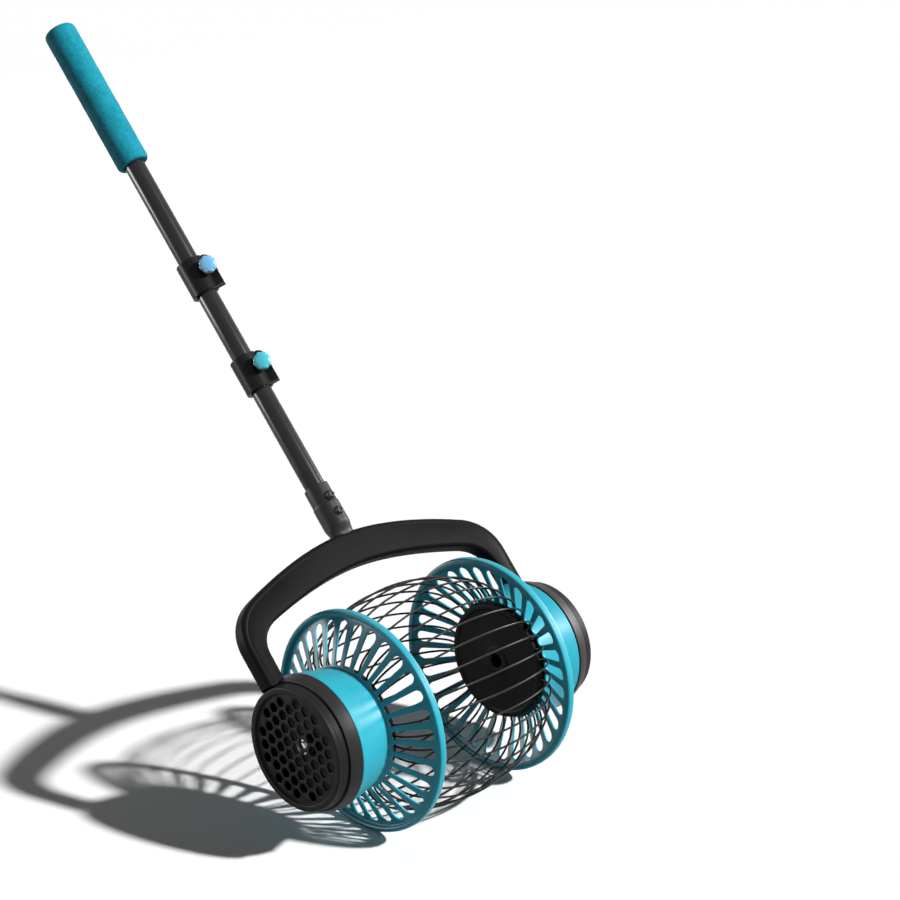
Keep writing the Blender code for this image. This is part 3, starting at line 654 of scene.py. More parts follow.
class Finish(Enum):
    """Every finish of the collector."""

    YOKE = Plastic("black_moulding", (0.0064, 0.0062, 0.0063), (0.0078, 0.0075, 0.0076), 0.42, 0.50,
                   shine=0.028, dust=0.10)
    # Painted light: a lighter copy of the yoke's black moulding, used for the end housings, the socket and
    # the bolt pads
    HOUSING = Plastic("black_moulding_painted_lighter", (0.0150, 0.0142, 0.0145), (0.0170, 0.0161, 0.0165), 0.42, 0.52,
                      shine=0.18, dust=0.12)
    COVER = Plastic("black_cover", (0.0140, 0.0136, 0.0138), (0.0160, 0.0156, 0.0158), 0.42, 0.52,
                    shine=0.08, dust=0.15)
    HUB = Plastic("black_hub", (0.0035,) * 3, (0.0045,) * 3, 0.45, 0.6, shine=0.06, dust=0.0)
    CLAMP = Plastic("black_clamp", (0.0080, 0.0080, 0.0083), (0.0095, 0.0095, 0.0098), 0.3, 0.4, shine=0.09)
    WHEEL = Plastic("teal_moulding", (0.016, 0.36, 0.47), (0.024, 0.39, 0.50), 0.34, 0.42, shine=0.30,
                    dust=0.1, scuffs=0.3, glow_depth=0.002, grain_depth=0.00002)
    UPPER_KNOB = Plastic("blue_knob", (0.20, 0.56, 0.91), (0.23, 0.59, 0.92), 0.2, 0.3, dust=0.0, coat=0.3,
                         glow_depth=0.003)
    LOWER_KNOB = Plastic("teal_knob", (0.065, 0.60, 0.73), (0.08, 0.63, 0.75), 0.2, 0.3, dust=0.0, coat=0.3,
                         glow_depth=0.003)
    POLE = Plastic("pole_paint", (0.0110, 0.0110, 0.0113), (0.0130, 0.0130, 0.0133), 0.2, 0.28, shine=0.25,
                   dust=0.08, grain_scale=900.0, grain_depth=0.00002)
    WIRE = Plastic("wire_paint", (0.006,) * 3, (0.008,) * 3, 0.28, 0.4, shine=0.15, dust=0.0, scuffs=0.15)
    STEEL = Metal("steel", (0.62, 0.62, 0.63), (0.42, 0.42, 0.43), 0.22)
    BLACK_STEEL = Metal("black_steel", (0.05, 0.05, 0.052), (0.025, 0.025, 0.026), 0.32)
    BRONZE = Metal("bronze", (0.56, 0.37, 0.19), (0.40, 0.26, 0.13), 0.35)
    # The foam's pit colour is painted shade in the low parts of its relief
    FOAM = Foam("grip_foam", (0.013, 0.315, 0.415), (0.004, 0.17, 0.245))


def build_finishes() -> dict[Finish, Material]:
    """Build the shared node groups, and each finish from them."""
    groups = Groups(moulded_group(), scuff_group(), dust_group(), foam_group(), turned_group())
    return {finish: finish.value.build(groups) for finish in Finish}


# Pieces
@dataclass
class Assembly:
    """What every sub-assembly holds: the collector's axes and its materials."""

    layout: Layout
    materials: dict[Finish, Material]

    def add(self, name: str, mesh: bpy.types.Mesh, finish: Finish, body: str, node: str,
            sharp_deg: float = 40.0) -> bpy.types.Object:
        """Merge a mesh's doubled points, turn its faces outwards and make it a piece of the collector.

        Args:
            name: the piece's name.
            mesh: its mesh, in the row frame.
            finish: its finish.
            body: the body that it rides on.
            node: the CAD node that it stands for.
            sharp_deg: edges that turn more than this stay sharp.

        Returns:
            The new object.
        """
        made = bmesh.new()
        made.from_mesh(mesh)
        bmesh.ops.remove_doubles(made, verts=made.verts, dist=0.000002)
        bmesh.ops.dissolve_degenerate(made, dist=0.000001, edges=made.edges)
        bmesh.ops.recalc_face_normals(made, faces=made.faces)
        made.to_mesh(mesh)
        made.free()
        mesh.name = name
        mesh.shade_smooth()
        mesh.set_sharp_from_angle(angle=math.radians(sharp_deg))
        mesh.materials.append(self.materials[finish])
        piece = new_object(name, mesh)
        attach(piece, body)
        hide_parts(node)
        LOG.info("%s: %d faces on %s", name, len(mesh.polygons), body)
        return piece


@dataclass
class Wheel(Assembly):
    """A blue wheel: a rim bead, a conical web with 32 slots, and a conical collar, as one closed surface."""

    side: Side
    radius: float = 0.146
    rim_radius: float = 0.1375
    rim_inner: float = 0.1115
    rim_outer: float = 0.1225
    web_foot: float = 0.1433
    web_wall: float = 0.0028
    web_overlap: float = 0.0012
    collar_inner_radius: float = 0.0785
    collar_outer_radius: float = 0.0885
    collar_end: float = 0.1975
    collar_wall: float = 0.0035
    spigot_end: float = 0.151
    slots: int = 32
    slot_share: float = 0.62
    slot_margin: float = 0.0045
    arc_steps: int = 8
    side_steps: int = 7

    def web_x(self, radius: float | Points) -> float | Points:
        """Height of the web's outer face at a radius: a straight line from the collar to the rim."""
        share = (radius - self.collar_inner_radius) / (self.rim_radius - self.collar_inner_radius)
        return self.web_foot + share * (0.5 * (self.rim_inner + self.rim_outer) - self.web_foot)

    @property
    def web_ends(self) -> Pair:
        """The radii at which the web's cells meet the collar and the rim."""
        return self.collar_inner_radius + self.web_overlap, self.rim_radius - self.web_overlap

    def cell_loop(self) -> Points:
        """A cell's border in (x, y), in steps that match the slot's: root, side, tip, side.

        Returns:
            The border's points.
        """
        low, high = self.web_ends
        half = math.pi / self.slots
        corners = [(low, -half), (low, half), (high, half), (high, -half)]
        steps = [self.arc_steps, self.side_steps] * 2
        legs = [span(a, b, n + 1)[:-1] for a, b, n in zip(corners, corners[1:] + corners[:1], steps)]
        return polar(*np.vstack(legs).T)

    def slot_loop(self) -> Points:
        """The slot's border in (x, y): a rounded root, straight sides that open out, and a half circle.

        Returns:
            The border's points.
        """
        spread = self.slot_share * math.pi / self.slots
        root = self.collar_inner_radius + self.slot_margin
        tip = (self.rim_radius - self.slot_margin) / (1.0 + spread)
        near, far = np.array([root, root * spread]), np.array([tip, tip * spread])
        across = np.array([1.0, -1.0])
        turn = polar(1.0, span(-0.25 * TAU, 0.25 * TAU, self.arc_steps + 1))
        legs = [
            turn * near[1] * (-0.5, 1.0) + (root, 0.0), span(near, far, self.side_steps + 1),
            turn * far[1] * across + (tip, 0.0), span(far * across, near * across, self.side_steps + 1),
        ]
        return np.vstack([leg[:-1] for leg in legs])

    def web_cell(self) -> Surface:
        """One cell of the web round its slot: rings from the cell's border to the slot's, over and under.

        Each ring is the border and the slot's loop mixed by a share.  Its height is the web's at its radius,
        with the wall's edges rounded where the rings meet the slot.

        Returns:
            The cell's surface, its slot along X.
        """
        share = np.array([0.0, 0.35, 0.7, 0.88, 0.96, 1.0, 1.0, 0.96, 0.88, 0.7, 0.35, 0.0])[:, None, None]
        depth = np.array([0.0, 0.0, 0.0, 0.0, 0.07, 0.28, 0.72, 0.93, 1.0, 1.0, 1.0, 1.0])[:, None]
        flat = self.cell_loop() * (1.0 - share) + self.slot_loop() * share
        height = self.web_x(np.hypot(flat[..., 0], flat[..., 1])) - self.web_wall * depth
        return skin(np.concatenate([flat, height[..., None]], axis=-1))

    def build(self) -> None:
        """Build and dress the wheel: its rim and its collar are turned, and the web's cell is repeated."""
        web, wall, rim = self.web_x, self.web_wall, self.rim_radius
        low, high = self.web_ends
        bore = self.collar_inner_radius - self.collar_wall
        steps = self.slots * self.arc_steps
        rim_ring = lathe([
            (high, web(high)), (rim + 0.0004, web(rim) + 0.0004), (rim + 0.0022, self.rim_outer),
            (self.radius, self.rim_outer), (self.radius, self.rim_inner), (rim, self.rim_inner),
            (rim, web(rim) - wall), (high, web(high) - wall),
        ], [0.001, 0.001, 0.0016, 0.0036, 0.0036, 0.002, 0.001, 0.001], 7, steps, False)
        collar = lathe([
            (low, web(low) - wall), (bore, web(bore) - wall), (bore, self.spigot_end),
            (self.collar_outer_radius - self.collar_wall, self.collar_end),
            (self.collar_outer_radius, self.collar_end), (self.collar_inner_radius, self.web_foot + 0.0008),
            (low, web(low)),
        ], [0.001, 0.001, 0.001, 0.0012, 0.0012, 0.0012, 0.001], 5, steps, False)
        cell = self.web_cell()
        cells = [cell.moved(rotation("Z", TAU * (k + 1) / self.slots)) for k in range(self.slots)]
        node = f"{self.side.label}_wheel"
        place = self.layout.cage() @ self.side.outwards
        whole = join([rim_ring, collar, *cells])
        self.add(f"{node}_skin", whole.mesh(place), Finish.WHEEL, "cage", node, 50.0)


@dataclass
class Hub(Assembly):
    """A hub plate, its bush, and the bolt that the bush turns on."""

    side: Side
    plate_radius: float = 0.0775
    plate_face: float = 0.131
    plate_back: float = 0.136
    dish_depth: float = 0.0012
    spigot_radius: float = 0.0747
    spigot_wall: float = 0.006
    spigot_end: float = 0.15
    boss_radius: float = 0.0135
    boss_end: float = 0.19
    bore_radius: float = 0.0096
    bush_radius: float = 0.0093
    bush_bore: float = 0.0063
    flange_radius: float = 0.0125
    flange_end: float = 0.1918
    flange_gap: float = 0.0003
    bush_length: float = 0.025
    axle_radius: float = 0.006
    head_radius: float = 0.011
    head_edge: float = 0.0035
    head_dome: float = 0.0025
    seat: float = 0.2138
    axle_length: float = 0.055
    sides: int = 64

    def plate(self) -> Surface:
        """The hub plate: a disc with a dished face, a spigot and a boss.

        Returns:
            The surface.
        """
        plate, boss, spigot = self.plate_radius, self.boss_radius, self.spigot_radius
        face, back, dish = self.plate_face, self.plate_back, self.plate_face + self.dish_depth
        return lathe([
            (spigot, self.spigot_end), (spigot, back), (plate, back), (plate, face), (plate - 0.006, face),
            (plate - 0.0075, dish), (boss + 0.006, dish), (boss + 0.0045, face), (self.bore_radius, face),
            (self.bore_radius, self.boss_end), (boss, self.boss_end), (boss, back),
            (spigot - self.spigot_wall, back), (spigot - self.spigot_wall, self.spigot_end),
        ], 0.0008, 4, 144)

    def bush(self) -> Surface:
        """The flanged bush.

        Returns:
            The surface.
        """
        foot = self.boss_end + self.flange_gap
        end = foot - self.bush_length
        return lathe([
            (self.flange_radius, self.flange_end), (self.flange_radius, foot), (self.bush_radius, foot),
            (self.bush_radius, end), (self.bush_bore, end), (self.bush_bore, self.flange_end),
        ], 0.0003, 4, self.sides)

    def bolt(self) -> Surface:
        """The axle bolt: a low domed head and a shank.

        Returns:
            The surface.
        """
        head, shank, edge = self.head_radius, self.axle_radius, self.seat + self.head_edge
        dome = span(0.0, 0.25 * TAU, 10)
        cap = np.stack([head * np.sin(dome), edge + self.head_dome * np.cos(dome)], axis=1)
        end = self.seat - self.axle_length
        corners = [(head, edge), (head, self.seat), (shank, self.seat), (shank, end), (0.0, end)]
        rest = soften(corners, 0.0005, 4, False)
        return revolve(np.vstack([cap, rest[1:]]), self.sides, False)

    def build(self) -> None:
        """Build and dress the hub's pieces."""
        label = self.side.label
        turning = self.layout.cage() @ self.side.outwards
        fixed = self.layout.yoke() @ self.side.outwards
        self.add(f"{label}_hub_disc", self.plate().mesh(turning), Finish.HUB, "cage", f"{label}_hub_plate")
        self.add(f"{label}_bush_ring", self.bush().mesh(turning), Finish.BRONZE, "cage", f"{label}_bush")
        self.add(f"{label}_bolt_steel", self.bolt().mesh(fixed), Finish.STEEL, "frame", f"{label}_axle_bolt")


@dataclass
class Cage(Assembly):
    """The cage's wires: half ellipses from hub plate to hub plate, with short straight feet."""

    count: int = 36
    turn: float = math.radians(1.2)
    wire_radius: float = 0.0014
    wire_sides: int = 10
    wire_steps: int = 49
    bow_radius: float = 0.1435
    foot_radius: float = 0.0778
    foot_gap: float = 0.0001
    foot_length: float = 0.003
    half_length: float = 0.1335
    foot_angle: float = math.radians(84.0)

    def wire(self) -> Surface:
        """One wire in the XZ plane, Z being the radius: a circle carried along its path.

        The circle's two axes are Y and the path's normal, and each end is drawn to a point.

        Returns:
            The wire's surface.
        """
        angle = span(-self.foot_angle, self.foot_angle, self.wire_steps)
        x = self.half_length * np.sin(angle) / math.sin(self.foot_angle)
        z = self.foot_radius + (self.bow_radius - self.foot_radius) * np.cos(angle)
        start = self.foot_radius + self.foot_gap
        foot = span((-self.half_length, 0.0, start), (-self.half_length, 0.0, start + self.foot_length), 2)
        path = np.vstack([foot, np.stack([x, 0.0 * x, z], axis=1), foot[::-1] * (-1.0, 1.0, 1.0)])
        along = np.gradient(path, axis=0)
        along /= np.linalg.norm(along, axis=1, keepdims=True)
        normal = np.stack([-along[:, 2], along[:, 1], along[:, 0]], axis=1)
        turn = circle(self.wire_sides)[None, :, None]
        ring = np.cos(turn) * normal[:, None] + np.sin(turn) * np.array([0.0, 1.0, 0.0])
        return capped(path[:, None] + self.wire_radius * ring, path[[0, -1]])

    def build(self) -> None:
        """Build and dress every wire."""
        wire = self.wire()
        for k in range(self.count):
            place = self.layout.cage() @ rotation("X", TAU * k / self.count + self.turn - 0.25 * TAU)
            node = f"cage_wire_{k + 1:02d}"
            self.add(f"{node}_skin", wire.mesh(place), Finish.WIRE, "cage", node)


@dataclass
class Yoke(Assembly):
    """The yoke: a crowned arch with two arms, two end housings and the pole socket."""

    depth: float = 0.024
    rounding: float = 0.0055
    corner_steps: int = 7
    crease_inset: float = 0.0075
    crease_depth: float = 0.0007
    crease_step: float = 0.0008
    crease_end: float = 0.06
    crease_fade: float = 0.09
    foot_radius: float = 0.0832
    socket_radius: float = 0.0182
    socket_top: float = 0.3045
    socket_step: float = 0.027
    bore_radius: float = 0.0143
    bore_foot: float = 0.2497
    crown_top: float = 0.232
    bolt_seat: float = 0.0195
    bolt_sides: int = 48
    bolt_heights: tuple[tuple[str, float], ...] = (("upper", 0.2837), ("lower", 0.2600))

    def edge(self, arm_x: float, arm_top: float, shoulder: Pair, slope: float, crown: float) -> Points:
        """An edge of the arch from foot to foot: on each side a line and two cubics.

        Args:
            arm_x: the arm's distance from the middle.
            arm_top: where the arm starts to bend.
            shoulder: the point where the two cubics meet.
            slope: the edge's slope there.
            crown: its height in the middle.

        Returns:
            The edge's (x, z) points.
        """
        x, z = shoulder
        rise, run = 0.57 * (arm_x - x), 0.31 * x
        arm = span((arm_x, 0.075), (arm_x, arm_top), 10)
        bend_from, bend_to = (arm_x, 0.5 * (arm_top + z)), (x + rise, z - rise * slope)
        bend = bezier([(arm_x, arm_top), bend_from, bend_to, (x, z)], 17)
        rest = bezier([(x, z), (x - run, z + run * slope), (x / 3.0, crown), (0.0, crown)], 25)
        half = np.vstack([arm, bend[1:], rest[1:]])
        return np.vstack([half, half[-2::-1] * (-1.0, 1.0)])

    def arch(self) -> Surface:
        """The arch: a rounded rectangle carried from foot to foot.

        Its width reaches from the inner to the outer edge and its depth stays.  A point of the rectangle is
        a corner's centre plus the rounding times (cos, sin) of the angle.  The front face has a crease along
        the outer edge, which fades towards the crown.  The foot row is pushed onto the housing's round end.

        Returns:
            The arch's surface.
        """
        outer = self.edge(0.2305, 0.134, (0.186, 0.1935), 0.37, self.crown_top)
        inner = self.edge(0.2025, 0.118, (0.168, 0.1575), 0.29, 0.186)
        middle, half = 0.5 * (outer + inner), 0.5 * (outer - inner)
        width = np.linalg.norm(half, axis=1, keepdims=True)
        corner = np.repeat(np.arange(4), self.corner_steps)
        turn = polar(self.rounding, 0.25 * TAU * (corner + np.tile(span(0.0, 1.0, self.corner_steps), 4)))
        a = np.where((corner == 0) | (corner == 3), 1.0, -1.0) * (width - self.rounding) + turn[:, 0]
        b = np.where(corner < 2, 1.0, -1.0) * (0.5 * self.depth - self.rounding) + turn[:, 1] + 0.0 * width
        fade = np.clip((np.abs(middle[:, :1]) - self.crease_end) / self.crease_fade, 0.0, 1.0)
        crease_a = width - self.crease_inset + self.crease_step * np.arange(-2, 3)
        crease_b = fade * self.crease_depth * np.array([0.0, 0.6, 1.0, 0.6, 0.0]) - 0.5 * self.depth
        front = 3 * self.corner_steps
        a = np.concatenate([a[:, :front], crease_a, a[:, front:]], axis=1)
        b = np.concatenate([b[:, :front], crease_b, b[:, front:]], axis=1)
        flat = middle[:, None] + a[..., None] * (half / width)[:, None]
        points = np.stack([flat[..., 0], b, flat[..., 1]], axis=-1)
        offset = self.layout.front_offset
        points[[0, -1], :, 2] = np.sqrt(self.foot_radius**2 - (points[[0, -1], :, 1] - offset) ** 2)
        ends = points[[0, -1]].mean(axis=1)
        ends[:, 2] = math.sqrt(self.foot_radius**2 - offset**2)
        return capped(points, ends)

    def housing(self) -> Surface:
        """An end housing: a short cone along Z, open outwards, with a boss round the bolt's bore.

        Returns:
            The surface.
        """
        return lathe([
            (0.085, 0.2155), (0.0895, 0.1985), (0.0125, 0.1985), (0.0125, 0.1928), (0.0063, 0.1928),
            (0.0063, 0.2135), (0.015, 0.2135), (0.015, 0.2035), (0.0805, 0.2035), (0.0805, 0.2145),
            (0.0826, 0.2145), (0.0826, 0.2155),
        ], [0.0009, 0.0016, 0.0005, 0.0005, 0.0003, 0.0003, 0.0008, 0.001, 0.001, 0.0003, 0.0003, 0.0004],
            5, 192)

    def socket(self) -> Surface:
        """The pole socket: a tube with a slimmer top, whose foot thins front and back to the arch's depth.

        Below the shoulder the depth is drawn in by a smooth step of the height, while the width stays.

        Returns:
            The socket's surface.
        """
        radius, bore, top = self.socket_radius, self.bore_radius, self.socket_top
        slim = radius - 0.001
        step, foot = top - self.socket_step, self.crown_top - self.depth
        shoulder, seat = self.crown_top + 0.016, self.crown_top - 0.001
        upper = soften([(bore, top), (slim - 0.0003, top), (slim, step + 0.001), (radius, step - 0.001),
                        (radius, step - 0.004)], [0.0, 0.0012, 0.0008, 0.0008, 0.0], 6, False)
        side = span((radius, step - 0.004), (radius, foot + 0.002), 40)
        ends = np.array([(0.0, self.bore_foot), (bore, self.bore_foot), (radius - 0.001, foot), (0.0, foot)])
        surface = revolve(np.vstack([ends[:2], upper, side[1:], ends[2:]]), 96, False)
        x, y, z = surface.points.T
        share = np.clip((shoulder - z) / (shoulder - seat), 0.0, 1.0)
        share = share * share * (3.0 - 2.0 * share)
        limit = 1.0 + share * ((0.5 * self.depth - 0.0008) / radius - 1.0)
        y = np.where(np.hypot(x, y) > bore + 0.0005, y * limit, y)
        return Surface(np.stack([x, y, z], axis=1), surface.faces)

    def bolt_pad(self) -> Surface:
        """A flat pad under a socket bolt, along Z."""
        corners = [(0.0, 0.0192), (0.0068, 0.0192), (0.0068, 0.012), (0.0, 0.012)]
        return lathe(corners, 0.0006, 4, self.bolt_sides, False)

    def socket_bolt(self) -> Surface:
        """A button head with a hexagonal recess, and its shank, along Z.

        Returns:
            The surface.
        """
        seat = self.bolt_seat
        return lathe([
            (0.0, seat + 0.0016), (0.0022, seat + 0.0016), (0.0026, seat + 0.0034), (0.0038, seat + 0.0035),
            (0.0058, seat + 0.0016), (0.0058, seat), (0.0025, seat), (0.0025, seat - 0.009),
            (0.0, seat - 0.009),
        ], [0.0, 0.0002, 0.0003, 0.0008, 0.0012, 0.0003, 0.0002, 0.0003, 0.0], 5, self.bolt_sides, False)

    def build(self) -> None:
        """Build and dress the yoke and its socket bolts."""
        pole, part = self.layout.pole(), ("frame", "yoke_frame")
        self.add("yoke_arch", self.arch().mesh(pole), Finish.YOKE, *part, 50.0)
        # The housings, the socket and its bolt pads take the lighter copy of the black moulding, which is
        # painted light
        for side in Side:
            place = self.layout.yoke() @ side.outwards
            self.add(f"{side.label}_end_housing", self.housing().mesh(place), Finish.HOUSING, *part)
        self.add("pole_socket", self.socket().mesh(pole), Finish.HOUSING, *part, 50.0)
        for label, height in self.bolt_heights:
            place = pole @ shift(0.0, 0.0, height) @ TO_FRONT
            self.add(f"{label}_bolt_pad", self.bolt_pad().mesh(place), Finish.HOUSING, *part)
            self.add(f"{label}_bolt_head", self.socket_bolt().mesh(place), Finish.BLACK_STEEL, "frame",
                     f"{label}_socket_bolt")


@dataclass
class Cover(Assembly):
    """An end cover: a ring with a honeycomb grille set into it, and a finger tab."""

    side: Side
    pitch: float = 0.017
    hole_flats: float = 0.0125
    hole_limit: float = 0.0631
    plate_radius: float = 0.0712
    plate_top: float = 0.227
    plate_back: float = 0.224
    plate_edge: float = 0.0004
    tab_angle: float = math.radians(21.0)
    tab_radius: float = 0.08
    tab_height: float = 0.22265

    def ring(self) -> Surface:
        """The cover's ring with its rim, its side step and its spigot.

        Returns:
            The surface.
        """
        return lathe([
            (0.0700, 0.2266), (0.0716, 0.2280), (0.0720, 0.2305), (0.0800, 0.2305), (0.0806, 0.2240),
            (0.0810, 0.2235), (0.0820, 0.2148), (0.0802, 0.2148), (0.0802, 0.2088), (0.0770, 0.2088),
            (0.0770, 0.2244), (0.0700, 0.2244),
        ], [0.0003, 0.0008, 0.0012, 0.0018, 0.0003, 0.0003, 0.0006, 0.0003, 0.0005, 0.0005, 0.0005, 0.0003],
            5, 192)

    def hole_centres(self) -> Points:
        """The honeycomb's whole holes: every other row is half a pitch along, all inside the limit.

        Returns:
            The holes' (x, y) centres.
        """
        row, column = np.meshgrid(np.arange(-5, 6), np.arange(-6, 7), indexing="ij")
        spots = self.pitch * np.stack([row * math.sqrt(0.75), column + 0.5 * (row % 2)], axis=-1)
        return spots[np.linalg.norm(spots, axis=-1) <= self.hole_limit]

    def grille(self) -> bpy.types.Mesh:
        """The honeycomb plate: a filled flat outline with holes, given a depth and a small edge round.

        Returns:
            The plate's mesh, its middle at the origin.
        """
        curve = bpy.data.curves.new("grille", "CURVE")
        curve.dimensions = "2D"
        curve.fill_mode = "BOTH"
        curve.extrude = 0.5 * (self.plate_top - self.plate_back) - self.plate_edge
        curve.bevel_depth = self.plate_edge
        curve.bevel_resolution = 2
        curve.offset = -self.plate_edge
        hexagon = soften(polar(self.hole_flats / math.sqrt(3.0), circle(6)), 0.0011, 4)
        holes = [hexagon + centre for centre in self.hole_centres()]
        for loop in [polar(self.plate_radius, circle(120)), *holes]:
            spline = curve.splines.new("POLY")
            spline.use_cyclic_u = True
            spline.points.add(len(loop) - 1)
            spline.points.foreach_set("co", np.hstack([loop, np.tile((0.0, 1.0), (len(loop), 1))]).ravel())
        drawn = new_object("grille_outline", curve)
        bpy.context.view_layer.update()
        mesh = bpy.data.meshes.new_from_object(drawn.evaluated_get(bpy.context.evaluated_depsgraph_get()))
        bpy.data.objects.remove(drawn, do_unlink=True)
        return mesh

    def tab(self) -> Surface:
        """The finger tab: an ellipsoid squared by raising its sines and cosines to two fifths.

        Returns:
            The surface.
        """
        u, v = np.meshgrid(span(-0.25 * TAU, 0.25 * TAU, 17), circle(32), indexing="ij")
        round_block = np.stack([np.cos(u) * np.cos(v), np.cos(u) * np.sin(v), np.sin(u)], axis=-1)
        return skin(np.sign(round_block) * np.abs(round_block) ** 0.4 * (0.0035, 0.0035, 0.0028))

    def build(self) -> None:
        """Build and dress the cover."""
        label = self.side.label
        part = ("frame", f"{label}_grille_cover")
        place = self.layout.yoke() @ self.side.outwards
        self.add(f"{label}_cover_ring", self.ring().mesh(place), Finish.COVER, *part)
        plate = self.grille()
        seat = shift(0.0, 0.0, 0.5 * (self.plate_top + self.plate_back))
        plate.transform(Matrix((place @ seat).tolist()))
        self.add(f"{label}_cover_grille", plate, Finish.COVER, *part)
        tilt = self.layout.yoke() @ rotation("X", -self.tab_angle)
        spot = tilt @ shift(self.side.value * self.tab_height, 0.0, self.tab_radius)
        self.add(f"{label}_cover_tab", self.tab().mesh(spot), Finish.COVER, *part)


@dataclass
class Pole(Assembly):
    """The pole's three painted tubes and its foam grip."""

    radius: float = 0.014
    wall: float = 0.0012
    foot: float = 0.25
    top: float = 1.0265
    spigot: float = 0.045
    gap: float = 0.0003
    grip_radius: float = 0.0225
    grip_bore: float = 0.0143
    grip_foot: float = 0.814
    grip_top: float = 1.036
    sides: int = 96

    def lower_tube(self) -> Surface:
        """The lowest tube.

        Returns:
            The tube's surface.
        """
        outer, inner, seam = self.radius, self.radius - self.wall, self.layout.lower_seam
        corners = [(outer, seam), (outer, self.foot), (inner, self.foot), (inner, seam)]
        return lathe(corners, 0.0005, 4, self.sides)

    def upper_tube(self, seam: float, top: float) -> Surface:
        """A tube with the spigot that goes into the tube below.

        Args:
            seam: the height of the tube's foot, above its spigot.
            top: the height of its top.

        Returns:
            The tube's surface.
        """
        inner = self.radius - self.wall
        slim, tip = inner - self.gap, seam - self.spigot
        return lathe([
            (self.radius, top), (self.radius, seam + self.gap), (slim, seam + self.gap), (slim, tip),
            (slim - self.wall, tip), (slim - self.wall, seam + 0.0027), (inner, seam + 0.0051), (inner, top),
        ], 0.0005, 4, self.sides)

    def uneven(self, radius: Points, angle: Points, height: Points) -> Points:
        """How far the grip's skin moves: waves of the height and the angle that fade out at both ends.

        Args:
            radius: each point's radius.
            angle: its angle about Z.
            height: its height.

        Returns:
            How far each point moves out.
        """
        inside = np.clip(np.minimum(height - self.grip_foot, self.grip_top - height) / 0.02, 0.0, 1.0)
        long_wave = 0.00012 * np.sin(31.0 * height) * np.cos(2.0 * angle + 9.0 * height)
        short_wave = 0.00008 * np.sin(130.0 * height + 3.0 * angle)
        return np.where(radius > self.grip_radius - 0.001, (long_wave + short_wave - 0.0002) * inside, 0.0)

    def grip(self) -> Surface:
        """The foam grip: a sleeve with a closed domed end, its skin gently uneven.

        Returns:
            The surface.
        """
        radius, bore, foot, top = self.grip_radius, self.grip_bore, self.grip_foot, self.grip_top
        floor = self.top + self.gap
        profile = soften([
            (0.0, top), (0.0120, top - 0.0004), (0.0195, top - 0.0012), (radius, top - 0.0055),
            (radius, foot + 0.0035), (radius - 0.0022, foot), (bore, foot), (bore, floor), (0.0, floor),
        ], [0.0, 0.006, 0.003, 0.0045, 0.0025, 0.0015, 0.0006, 0.0003, 0.0], 8, False)
        rows = span(top - 0.012, foot + 0.006, 90)[:-1]
        return revolve(with_rows(profile, radius, rows), self.sides, False).swollen(self.uneven)

    def build(self) -> None:
        """Build and dress the tubes and the grip."""
        place = self.layout.pole()
        ends = [self.layout.lower_seam, self.layout.upper_seam, self.top]
        self.add("lower_tube", self.lower_tube().mesh(place), Finish.POLE, "frame", "lower_pole")
        for label, seam, top in zip(("middle", "upper"), ends, ends[1:]):
            tube = self.upper_tube(seam, top)
            self.add(f"{label}_tube", tube.mesh(place), Finish.POLE, f"{label}_section", f"{label}_pole")
        grip = self.add("grip_sleeve", self.grip().mesh(place), Finish.FOAM, "upper_section", "foam_grip")


